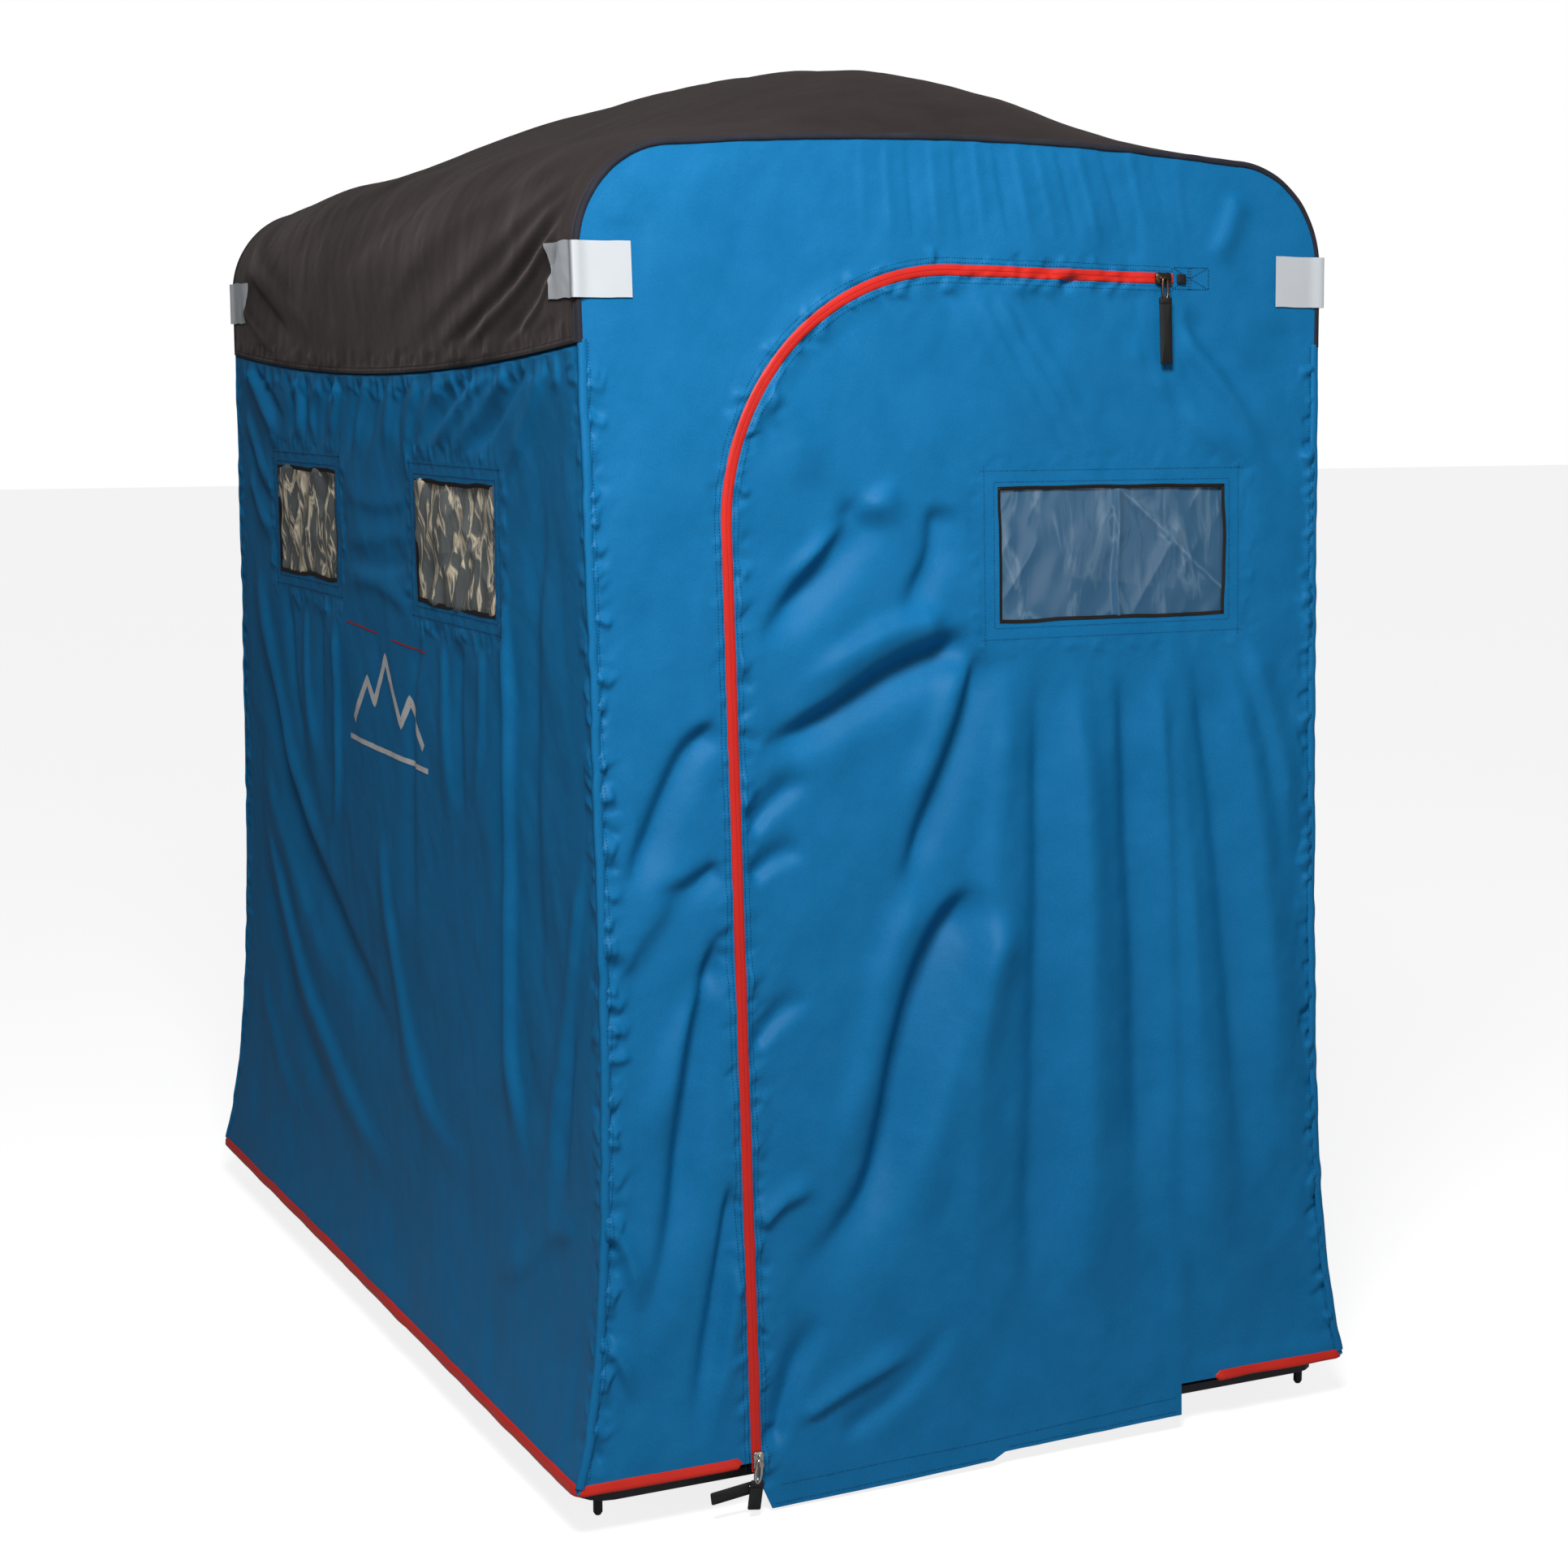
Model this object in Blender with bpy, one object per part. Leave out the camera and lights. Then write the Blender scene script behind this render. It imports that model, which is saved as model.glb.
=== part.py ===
"""Ice fishing shelter: a two-tray plastic base, a telescoping tube frame and a fabric canopy.

Metres, +Z up.  The origin is the centre of the footprint on the ice.  The door faces -Y.
"""
import math

import bmesh
import bpy
from mathutils import Matrix, Vector

# ---------------------------------------------------------------- driving dimensions
SKIRT_Z = 0.056          # underside of the red trim above the ice
CANOPY_HEIGHT = 1.43     # trim to the level where the end walls measure TOP_HALF_LENGTH
BASE_HALF_LENGTH = 0.766
TOP_HALF_LENGTH = 0.700
WAIST_HALF_WIDTH = 0.455     # side walls are pulled in between the hoop and the base
SHOULDER_GAIN = 0.010        # they widen again towards the hoop
SHOULDER_HEIGHT = 1.35
SKIRT_FLARE = 0.048          # and flare out over the base
FLARE_DECAY = 0.17
HOOP_CORNER_RADIUS = 0.115
CROWN_DROP = 0.016           # the hoop's top bar falls this far from its middle to its corners
CORNER_HEIGHT = 1.319        # where the hoop's corners begin, above the trim
RIDGE_RISE = 0.112           # the ridge pole lifts the roof this far above the hoops
RIDGE_SPREAD = 0.278
FABRIC = 0.004
GAP = 0.0004
PAST_END = 2.0                   # beyond the end walls, which then set where a row stops

TRIM_HEIGHT = 0.0117
TRIM_OUT = 0.002
TRIM_DEPTH = 0.009
TRIM_ENDS = (-0.307, 0.316)      # the trim stops beside the door

SEAM_CORNER = 1.226              # black roof cloth meets blue wall cloth, above the trim
SEAM_MIDDLE = 1.197
SEAM_CLEARANCE = 0.0025

DOOR_LEFT_FOOT = -0.290          # x of the zip at the trim
DOOR_LEFT_TOP = -0.302           # x of the zip where its bend begins
DOOR_BEND_Z = 1.032              # heights above the trim
DOOR_BEND_RADIUS = 0.275
DOOR_TOP_END = (0.262, 1.302)
DOOR_FOLD_X = 0.265              # the cloth folds along this line when the door opens
FLAP_LOW_LEFT = -0.047
FLAP_LOW_RIGHT = -0.035
FLAP_STEP_X = 0.018
TAPE_WIDTH = 0.0065
TAPE_THICK = 0.0015

WINDOW_LOW = 0.918
WINDOW_HIGH = 1.069
FRONT_WINDOW = (0.031, 0.332)
REAR_WINDOW = (-0.152, 0.149)
SIDE_WINDOWS = {"front": (-0.432, -0.143), "rear": (0.205, 0.494)}
PANE = 0.0012
PANE_GAP = 0.0006                # between a pane's edge and its opening
PANE_DEPTH = 0.0014              # the pane lies this far inside the cloth's outer face

PATCH_LOW = 1.272
PATCH_HIGH = 1.330
PATCH_ON_END = 0.060
PATCH_ON_SIDE = 0.078
PATCH_THICK = 0.0012
PATCH_OVER_SIDE = 0.0030         # a patch stands this far off the walls it covers
PATCH_OVER_END = 0.0008

SHELL_HALF_WIDTH = 0.486
SHELL_FRONT = 0.746
SHELL_FLANGE_LOW = 0.038
SHELL_FLANGE_HIGH = 0.048
SHELL_FLOOR = 0.005
SHELL_HINGE_EDGE = 0.009
# inset from the sides, inset from the hinge edge, height and corner radius of each level of a tray
TRAY_LEVELS = (
    (0.105, 0.030, 0.0, 0.050),
    (0.062, 0.018, SHELL_FLANGE_LOW, 0.045),
    (0.000, 0.000, SHELL_FLANGE_LOW, 0.035),
    (0.000, 0.000, SHELL_FLANGE_HIGH, 0.035),
    (0.068, 0.024, SHELL_FLANGE_HIGH, 0.040),
    (0.110, 0.034, SHELL_FLOOR, 0.045),
)
ICE_HOLE_RADIUS = 0.125
ICE_HOLE_Y = 0.400
COVER_RADIUS = 0.150
COVER_RIM = 0.004
COVER_GRIP_RADIUS = 0.014
COVER_GRIP_HEIGHT = 0.028

HINGE_Z = 0.043
HINGE_PIN_RADIUS = 0.003
KNUCKLE_RADIUS = 0.0072
KNUCKLE_LENGTH = 0.110
KNUCKLE_PITCH = 0.1104
KNUCKLE_COUNT = 8
WEB_INSET = 0.002                # a web is this much shorter than its knuckle at each end
WEB_REACH = 0.003

LEG_X = 0.431
LEG_Y = 0.679
BOLT_X = 0.464
BOLT_Y = 0.729
BOLT_RADIUS = 0.0040
BOLT_HEAD_RADIUS = 0.0080
BOLT_TIP_Z = 0.0165
BOLT_BORE_RADIUS = 0.0043
FOOT_PLATE_THICK = 0.005
FOOT_PLATE_INSIDE = 0.021        # the plate runs this far inwards of the leg's axis
FOOT_PLATE_OUTSIDE = 0.012       # and this far outwards of the bolt's
SOCKET_RADIUS = 0.0175
SOCKET_TOP = 0.110
LOWER_LEG_RADIUS = 0.013
LOWER_LEG_BORE = 0.0104
LOWER_LEG_TOP = 0.800
HOOP_RADIUS = 0.010
HOOP_FOOT_Z = 0.680
HOOP_BEND_RADIUS = 0.088
COLLAR_RADIUS = 0.019
COLLAR_LOW = 0.768
COLLAR_HIGH = 0.798
LUG_SPAN = (0.016, 0.026)        # distances of the collar's lug from the leg's axis
LUG_HALF_WIDTH = 0.008
LUG_HALF_HEIGHT = 0.010
SCREW_BORE_RADIUS = 0.0034
SCREW_RADIUS = 0.0030
SCREW_TIP = 0.0138
KNOB_RADIUS = 0.015
KNOB_FACE = 0.0425
KNOB_ORIGIN = 0.030
RIDGE_POLE_RADIUS = 0.007
RIDGE_POLE_INSET = 0.022         # the pole's ends stop this far inside the hoops
POLE_GAP = 0.0008
RIDGE_SOCKET_HALF_WIDTH = 0.016
RIDGE_SOCKET_SPAN = (-0.045, 0.012)
RIDGE_SOCKET_LEVELS = (-0.024, 0.0115)

SLIDER_WIDTH = 0.013
SLIDER_LENGTH = 0.020
SLIDER_THICK = 0.004
SLIDER_BACK_GAP = 0.0016
CHEEK_SPAN = (0.0040, 0.0056)    # distances of a slider's cheek from its middle
CHEEK_REACH = 0.0042
CHEEK_HALF_LENGTH = 0.003
PIN_RADIUS = 0.0009
PIN_OUT = 0.0024
UPPER_SLIDER_PLACE = (0.247, 1.3025)
LOWER_SLIDER_HEIGHT = 0.008
TAB_WIDTH = 0.014
TAB_HALF_THICK = 0.0010
UPPER_TAB_LENGTH = 0.098
LOWER_TAB_LENGTH = 0.052
# the second pull tab of the lower slider lies to the left under the trim: (x, height) outline
INNER_TAB = ((-0.347, -0.034), (-0.303, -0.029), (-0.289, -0.016), (-0.289, -0.0024),
             (-0.295, -0.0024), (-0.2955, -0.013), (-0.305, -0.0155), (-0.349, -0.0205))
INNER_TAB_OUT = 0.0065
LOOP_WIRE = 0.0018
LOOP_LOW = 0.103
LOOP_HIGH = 0.137
LOOP_BULGE = 0.013
LOOP_Y = -0.735
LOOP_PATCH_HALF_WIDTH = 0.013
LOOP_PATCH_MARGIN = 0.006
LOOP_STAND_OFF = 0.0010         # clears the wall, whose curve is built of flats


# ---------------------------------------------------------------- shape of the canopy
def half_width(height):
    """Outer face of the side walls at a height above the trim."""
    shoulder = SHOULDER_GAIN * (height / SHOULDER_HEIGHT) ** 2
    return WAIST_HALF_WIDTH + shoulder + SKIRT_FLARE * math.exp(-height / FLARE_DECAY)


def half_length(height):
    """Outer face of the end walls, which are flat and lean in towards the top."""
    lean = (BASE_HALF_LENGTH - TOP_HALF_LENGTH) / CANOPY_HEIGHT
    return BASE_HALF_LENGTH - lean * height


def seam_height(y):
    return SEAM_MIDDLE + (SEAM_CORNER - SEAM_MIDDLE) * (y / TOP_HALF_LENGTH) ** 2


def hoop_outline(inset=0.0, corner_steps=6, crown_steps=6):
    """Right half of the canopy's end outline above CORNER_HEIGHT, from the side wall to the crown."""
    radius = HOOP_CORNER_RADIUS - inset
    centre_x = half_width(CORNER_HEIGHT) - HOOP_CORNER_RADIUS
    points = []
    for step in range(corner_steps + 1):
        angle = 0.5 * math.pi * step / corner_steps
        points.append((centre_x + radius * math.cos(angle), CORNER_HEIGHT + radius * math.sin(angle)))
    for step in range(1, crown_steps + 1):
        x = centre_x * (1 - step / crown_steps)
        rise = CROWN_DROP * (1 - (x / centre_x) ** 2)
        points.append((x, CORNER_HEIGHT + radius + rise))
    return points


def ridge_lift(x, y, height):
    """How far the ridge pole lifts the roof cloth above the hoops' outline."""
    along = max(0.0, 1 - (y / TOP_HALF_LENGTH) ** 4)
    fade = min(1.0, max(0.0, (height - CORNER_HEIGHT) / HOOP_CORNER_RADIUS))
    return RIDGE_RISE * math.exp(-(x / RIDGE_SPREAD) ** 2) * along * fade


def zip_path(bend_steps=10):
    """The zip's line on the front wall, from its foot to its end, as (x, height)."""
    bend_x = DOOR_LEFT_TOP + DOOR_BEND_RADIUS
    points = [(DOOR_LEFT_FOOT, 0.0)]
    for step in range(bend_steps + 1):
        angle = math.pi - 0.5 * math.pi * step / bend_steps
        points.append((bend_x + DOOR_BEND_RADIUS * math.cos(angle),
                       DOOR_BEND_Z + DOOR_BEND_RADIUS * math.sin(angle)))
    points.append(DOOR_TOP_END)
    return points


def offset_path(points, distance):
    """The path moved sideways, to its left when distance is positive."""
    moved = []
    for index, (x, z) in enumerate(points):
        before = points[max(index - 1, 0)]
        after = points[min(index + 1, len(points) - 1)]
        along = Vector((after[0] - before[0], after[1] - before[1])).normalized()
        moved.append((x - distance * along.y, z + distance * along.x))
    return moved


# ---------------------------------------------------------------- making objects
def clear_scene():
    for obj in list(bpy.data.objects):
        bpy.data.objects.remove(obj)


def make_material(name, color, roughness, metallic=0.0, alpha=1.0):
    material = bpy.data.materials.new(name)
    material.use_nodes = True
    shader = material.node_tree.nodes["Principled BSDF"]
    shader.inputs["Base Color"].default_value = (*color, 1.0)
    shader.inputs["Roughness"].default_value = roughness
    shader.inputs["Metallic"].default_value = metallic
    shader.inputs["Alpha"].default_value = alpha
    return material


def add_object(name, data, material, smooth_angle=None):
    if isinstance(data, bmesh.types.BMesh):
        bmesh.ops.recalc_face_normals(data, faces=data.faces)
        mesh = bpy.data.meshes.new(name)
        data.to_mesh(mesh)
        data.free()
        data = mesh
    obj = bpy.data.objects.new(name, data)
    bpy.context.scene.collection.objects.link(obj)
    if smooth_angle is not None:
        data.shade_smooth()
        data.set_sharp_from_angle(angle=math.radians(smooth_angle))
    data.materials.append(material)
    return obj


def make_guide(obj):
    """A cutter or an added shape, which isn't a part of its own."""
    obj.hide_render = True
    obj.display_type = "WIRE"
    return obj


def combine(obj, other, operation):
    make_guide(other)
    modifier = obj.modifiers.new(operation.lower(), "BOOLEAN")
    modifier.operation = operation
    modifier.object = other
    modifier.solver = "EXACT"


def cut(obj, cutter):
    combine(obj, cutter, "DIFFERENCE")


def join(obj, other):
    combine(obj, other, "UNION")


def box(low, high):
    mesh = bmesh.new()
    size = Vector(high) - Vector(low)
    middle = (Vector(high) + Vector(low)) / 2
    shape = Matrix.Translation(middle) @ Matrix.Diagonal((*size, 1.0))
    bmesh.ops.create_cube(mesh, size=1.0, matrix=shape)
    return mesh


def spanning_box(first, second):
    """A box between any two of its opposite corners."""
    low = [min(pair) for pair in zip(first, second)]
    high = [max(pair) for pair in zip(first, second)]
    return box(low, high)


def prism(outline, low, high):
    """An outline in the XY plane raised from low to high."""
    mesh = bmesh.new()
    face = mesh.faces.new([mesh.verts.new((x, y, low)) for x, y in outline])
    raised = bmesh.ops.extrude_face_region(mesh, geom=[face])
    for vert in [item for item in raised["geom"] if isinstance(item, bmesh.types.BMVert)]:
        vert.co.z = high
    return mesh


def turned(profile, centre, axis="Z", steps=20):
    """A closed (radius, distance) profile spun about an axis through centre."""
    mesh = bmesh.new()
    rings = []
    for radius, distance in profile:
        if radius == 0:
            rings.append([mesh.verts.new((0, 0, distance))])
            continue
        ring = []
        for step in range(steps):
            angle = 2 * math.pi * step / steps
            ring.append(mesh.verts.new((radius * math.cos(angle), radius * math.sin(angle), distance)))
        rings.append(ring)
    closed = profile[0][0] != 0
    pairs = list(zip(rings, rings[1:] + rings[:1])) if closed else list(zip(rings, rings[1:]))
    for first, second in pairs:
        for step in range(steps):
            following = (step + 1) % steps
            corners = [first[step % len(first)], first[following % len(first)],
                       second[following % len(second)], second[step % len(second)]]
            mesh.faces.new(list(dict.fromkeys(corners)))
    turn = {"Z": Matrix(), "X": Matrix.Rotation(math.pi / 2, 4, "Y"),
            "Y": Matrix.Rotation(-math.pi / 2, 4, "X")}[axis]
    bmesh.ops.transform(mesh, matrix=Matrix.Translation(centre) @ turn, verts=mesh.verts)
    return mesh


def cylinder(centre, radius, low, high, axis="Z", steps=20):
    return turned([(0, low), (radius, low), (radius, high), (0, high)], centre, axis, steps)


def tube(name, points, radius, material, sides=3):
    """A round bar along points, as a bevelled curve with closed ends."""
    curve = bpy.data.curves.new(name, "CURVE")
    curve.dimensions = "3D"
    spline = curve.splines.new("POLY")
    spline.points.add(len(points) - 1)
    for point, place in zip(spline.points, points):
        point.co = (*place, 1.0)
    curve.bevel_depth = radius
    curve.bevel_resolution = sides
    curve.use_fill_caps = True
    curve.materials.append(material)
    obj = bpy.data.objects.new(name, curve)
    bpy.context.scene.collection.objects.link(obj)
    return obj


def move_origin(obj, place):
    """Put the object's origin at place and leave its shape where it is."""
    obj.data.transform(Matrix.Translation(-Vector(place)))
    obj.location = place


def hang_on(pivot_name, place, objects):
    """Parent objects to an empty that stands on their joint's axis."""
    pivot = bpy.data.objects.new(pivot_name, None)
    bpy.context.scene.collection.objects.link(pivot)
    pivot.location = place
    for obj in objects:
        obj.parent = pivot
        obj.location = Vector(obj.location) - Vector(place)


# ---------------------------------------------------------------- base
def tray_ring(mesh, inset, hinge_inset, z, radius, side):
    """One rounded rectangle of a tray, with its corners as arcs."""
    x = SHELL_HALF_WIDTH - inset
    outer = SHELL_FRONT - inset
    inner = SHELL_HINGE_EDGE + hinge_inset
    corners = [(x, outer), (-x, outer), (-x, inner), (x, inner)]
    ring = []
    arc_steps = 4
    for index, (corner_x, corner_y) in enumerate(corners):
        centre_x = corner_x - math.copysign(radius, corner_x)
        centre_y = corner_y + (radius if index > 1 else -radius)
        for step in range(arc_steps + 1):
            angle = 0.5 * math.pi * (index + step / arc_steps)
            ring.append(mesh.verts.new((centre_x + radius * math.cos(angle),
                                        side * (centre_y + radius * math.sin(angle)), z)))
    return ring


def base_shell(name, side, material):
    """A shallow moulded tray: sloping hull, flat flange all round, and a floor."""
    mesh = bmesh.new()
    rings = [tray_ring(mesh, *level, side) for level in TRAY_LEVELS]
    for first, second in zip(rings, rings[1:]):
        count = len(first)
        for index in range(count):
            following = (index + 1) % count
            mesh.faces.new((first[index], first[following], second[following], second[index]))
    mesh.faces.new(rings[0])
    mesh.faces.new(rings[-1])
    return add_object(name, mesh, material)


def add_knuckles(shell, side, name, material):
    """Every second hinge knuckle belongs to this shell, on a web that reaches its flange."""
    start = -0.5 * KNUCKLE_PITCH * (KNUCKLE_COUNT - 1)
    for index in range(KNUCKLE_COUNT):
        if (index % 2 == 0) != (side < 0):
            continue
        middle = start + index * KNUCKLE_PITCH
        half = KNUCKLE_LENGTH / 2
        barrel = cylinder((middle, 0, HINGE_Z), KNUCKLE_RADIUS, -half, half, "X", 12)
        edge = side * (SHELL_HINGE_EDGE + WEB_REACH)
        web = spanning_box((middle - half + WEB_INSET, edge, SHELL_FLANGE_LOW + 0.001),
                           (middle + half - WEB_INSET, 0, SHELL_FLANGE_HIGH - 0.001))
        join(shell, add_object(f"{name}_web_{index}", web, material))
        join(shell, add_object(f"{name}_barrel_{index}", barrel, material))
    bore = cylinder((0, 0, HINGE_Z), HINGE_PIN_RADIUS + GAP, -0.6, 0.6, "X", 12)
    cut(shell, add_object(f"{name}_bore", bore, material))


def make_base(plastic, steel):
    for name, side in (("base_front_shell", -1), ("base_rear_shell", 1)):
        shell = base_shell(name, side, plastic)
        add_knuckles(shell, side, name, plastic)
        hole = cylinder((0, side * ICE_HOLE_Y, 0), ICE_HOLE_RADIUS, -0.02, 0.03, steps=32)
        cut(shell, add_object(f"{name}_ice_hole", hole, plastic))
        for x in (-BOLT_X, BOLT_X):
            bore = cylinder((x, side * BOLT_Y, 0), BOLT_BORE_RADIUS, 0.02, 0.07, steps=12)
            cut(shell, add_object(f"{name}_bolt_hole", bore, plastic))
    half = 0.5 * KNUCKLE_PITCH * KNUCKLE_COUNT
    pin = cylinder((0, 0, HINGE_Z), HINGE_PIN_RADIUS, -half, half, "X", 12)
    add_object("base_hinge_pin", pin, steel, 40)
    for name, side in (("front_hole_cover", -1), ("rear_hole_cover", 1)):
        floor = SHELL_FLOOR + GAP
        grip_top = floor + COVER_GRIP_HEIGHT
        profile = [(0, floor), (COVER_RADIUS, floor), (COVER_RADIUS, floor + COVER_RIM),
                   (0.030, floor + 0.006), (COVER_GRIP_RADIUS, floor + 0.010),
                   (COVER_GRIP_RADIUS, grip_top - 0.004), (COVER_GRIP_RADIUS - 0.004, grip_top),
                   (0, grip_top)]
        centre = (0, side * ICE_HOLE_Y, 0)
        cover = add_object(name, turned(profile, centre, steps=32), plastic, 35)
        move_origin(cover, centre)


def make_foot(tag, side_x, side_y, material):
    """A foot plate held by the corner's bolt, with an upright socket for the lower tube."""
    x, y = side_x * LEG_X, side_y * LEG_Y
    seat = SHELL_FLANGE_HIGH + GAP
    inner = (x - side_x * FOOT_PLATE_INSIDE, y - side_y * FOOT_PLATE_INSIDE, seat)
    outer = (side_x * (BOLT_X + FOOT_PLATE_OUTSIDE), side_y * (BOLT_Y + FOOT_PLATE_OUTSIDE),
             seat + FOOT_PLATE_THICK)
    foot = add_object(f"leg_foot_{tag}", spanning_box(inner, outer), material)
    socket = cylinder((x, y, 0), SOCKET_RADIUS, seat + 0.001, SOCKET_TOP)
    join(foot, add_object(f"socket_{tag}", socket, material))
    bore = cylinder((x, y, 0), LOWER_LEG_RADIUS + GAP, seat + FOOT_PLATE_THICK, 0.2)
    cut(foot, add_object(f"socket_bore_{tag}", bore, material))
    bolt_bore = cylinder((side_x * BOLT_X, side_y * BOLT_Y, 0), BOLT_BORE_RADIUS, 0.02, 0.07, steps=12)
    cut(foot, add_object(f"foot_bolt_hole_{tag}", bolt_bore, material))


def make_bolt(tag, side_x, side_y, material):
    """A round-headed bolt whose thicker, rounded end shows under the flange."""
    flange = SHELL_FLANGE_LOW - GAP
    head = SHELL_FLANGE_HIGH + FOOT_PLATE_THICK + 2 * GAP
    profile = [(0, BOLT_TIP_Z), (0.0030, 0.0172), (0.0052, 0.0205), (0.0052, flange), (BOLT_RADIUS, flange),
               (BOLT_RADIUS, head), (BOLT_HEAD_RADIUS, head), (0.0075, head + 0.0035),
               (0.0040, head + 0.0055), (0, head + 0.0060)]
    place = (side_x * BOLT_X, side_y * BOLT_Y, 0)
    add_object(f"corner_bolt_{tag}", turned(profile, place, steps=12), material, 40)


def pipe(centre, bore, radius, low, high):
    """An upright tube."""
    return turned([(bore, low), (radius, low), (radius, high), (bore, high)], centre)


def make_clamp(tag, side_x, side_y, material):
    """A collar that clamps the lower tube's top, with a lug for the knob's screw, and the knob."""
    x, y = side_x * LEG_X, side_y * LEG_Y
    z = (COLLAR_LOW + COLLAR_HIGH) / 2
    ring = pipe((x, y, 0), LOWER_LEG_RADIUS + GAP, COLLAR_RADIUS, COLLAR_LOW, COLLAR_HIGH)
    collar = add_object(f"leg_collar_{tag}", ring, material, 40)
    near, far = [x - side_x * distance for distance in LUG_SPAN]
    lug = spanning_box((near, y - LUG_HALF_WIDTH, z - LUG_HALF_HEIGHT),
                       (far, y + LUG_HALF_WIDTH, z + LUG_HALF_HEIGHT))
    join(collar, add_object(f"collar_lug_{tag}", lug, material))
    reach = sorted((0, -side_x * 0.05))
    screw_hole = cylinder((x, y, z), SCREW_BORE_RADIUS, *reach, "X", 12)
    cut(collar, add_object(f"collar_hole_{tag}", screw_hole, material))

    shape = [(0, SCREW_TIP), (SCREW_RADIUS, SCREW_TIP), (SCREW_RADIUS, 0.0270), (0.010, 0.0270),
             (KNOB_RADIUS, 0.0300), (KNOB_RADIUS, 0.0400), (0.012, KNOB_FACE), (0, KNOB_FACE)]
    profile = [(radius, -side_x * distance) for radius, distance in shape]
    knob = add_object(f"clamp_knob_{tag}", turned(profile, (x, y, z), "X", 10), material)
    move_origin(knob, (x - side_x * KNOB_ORIGIN, y, z))


def make_legs(steel, dark):
    """Foot socket, bolt, lower tube, clamp collar and knob at each corner."""
    tube_foot = SHELL_FLANGE_HIGH + FOOT_PLATE_THICK + 2 * GAP
    for end, side_y in (("front", -1), ("rear", 1)):
        for hand, side_x in (("left", -1), ("right", 1)):
            tag = f"{end}_{hand}"
            make_foot(tag, side_x, side_y, dark)
            make_bolt(tag, side_x, side_y, dark)
            place = (side_x * LEG_X, side_y * LEG_Y, 0)
            lower = pipe(place, LOWER_LEG_BORE, LOWER_LEG_RADIUS, tube_foot, LOWER_LEG_TOP)
            add_object(f"lower_leg_{tag}", lower, steel, 40)
            make_clamp(tag, side_x, side_y, dark)


# ---------------------------------------------------------------- frame
def hoop_crown():
    """Height of the hoop's centre line where its top bar meets its bends."""
    return CORNER_HEIGHT + HOOP_CORNER_RADIUS + SKIRT_Z - 2 * FABRIC - HOOP_RADIUS


def hoop_points(side):
    """Centre line of an end hoop: down one leg, over the top and down the other."""
    crown = hoop_crown()
    bend_z = crown - HOOP_BEND_RADIUS
    bend_x = LEG_X - HOOP_BEND_RADIUS
    y = side * LEG_Y
    right = [(LEG_X, y, HOOP_FOOT_Z)]
    bend_steps = 6
    for step in range(bend_steps + 1):
        angle = 0.5 * math.pi * step / bend_steps
        right.append((bend_x + HOOP_BEND_RADIUS * math.cos(angle), y,
                      bend_z + HOOP_BEND_RADIUS * math.sin(angle)))
    for share in (2 / 3, 1 / 3, 0):
        right.append((bend_x * share, y, crown + CROWN_DROP * (1 - share ** 2)))
    left = [(-x, y_, z) for x, y_, z in reversed(right[:-1])]
    return right + left


def make_ridge(dark, pole):
    """The bowed pole along the middle of the roof, and the sockets that hold it to the hoops."""
    crown_z = hoop_crown() + CROWN_DROP
    pole_end = LEG_Y - RIDGE_POLE_INSET
    half_steps = 10
    points = []
    for step in range(2 * half_steps + 1):
        y = pole_end * (step / half_steps - 1)
        rise = (RIDGE_RISE - FABRIC) * (1 - (y / pole_end) ** 4)
        points.append((0, y, crown_z + rise))
    tube("ridge_pole", points, RIDGE_POLE_RADIUS, pole)
    low, high = RIDGE_SOCKET_LEVELS
    for name, side in (("ridge_socket_front", -1), ("ridge_socket_rear", 1)):
        near, far = [side * (LEG_Y + distance) for distance in RIDGE_SOCKET_SPAN]
        block = spanning_box((-RIDGE_SOCKET_HALF_WIDTH, near, crown_z + low),
                             (RIDGE_SOCKET_HALF_WIDTH, far, crown_z + high))
        socket = add_object(name, block, dark)
        hoop_bore = cylinder((0, side * LEG_Y, crown_z), HOOP_RADIUS + 0.0006, -0.05, 0.05, "X", 16)
        cut(socket, add_object(f"{name}_hoop_bore", hoop_bore, dark))
        half = RIDGE_POLE_RADIUS + POLE_GAP
        slot = spanning_box((-half, side * (LEG_Y - 0.018), crown_z - half - 0.0004),
                            (half, side * (LEG_Y - 0.080), crown_z + 0.04))
        cut(socket, add_object(f"{name}_pole_slot", slot, dark))


def make_frame(steel, dark, pole):
    for name, side in (("front_hoop", -1), ("rear_hoop", 1)):
        tube(name, hoop_points(side), HOOP_RADIUS, steel)
    make_ridge(dark, pole)


# ---------------------------------------------------------------- canopy
def end_panel(name, outline, side, depth, thickness, material):
    """A flat panel that leans with the end wall; depth is measured inwards from the outer face."""
    mesh = bmesh.new()
    face = mesh.faces.new([mesh.verts.new((x, 0, z)) for x, z in outline])
    back = bmesh.ops.extrude_face_region(mesh, geom=[face])
    moved = {item for item in back["geom"] if isinstance(item, bmesh.types.BMVert)}
    for vert in mesh.verts:
        inward = depth + (thickness if vert in moved else 0.0)
        height = vert.co.z
        vert.co.y = side * (half_length(height) - inward)
        vert.co.z = height + SKIRT_Z
    return add_object(name, mesh, material)


def side_edge(low, high, steps):
    """Right edge of an end wall between two heights, following the side wall's curve."""
    heights = [low + (high - low) * (step / steps) ** 1.6 for step in range(steps + 1)]
    return [(half_width(height), height) for height in heights]


def end_outline(bottom):
    """Right half of an end wall's outline, from its foot to the crown."""
    return side_edge(bottom, CORNER_HEIGHT, 10)[:-1] + hoop_outline()


def wall_foot():
    return TRIM_HEIGHT + 2 * GAP


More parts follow.
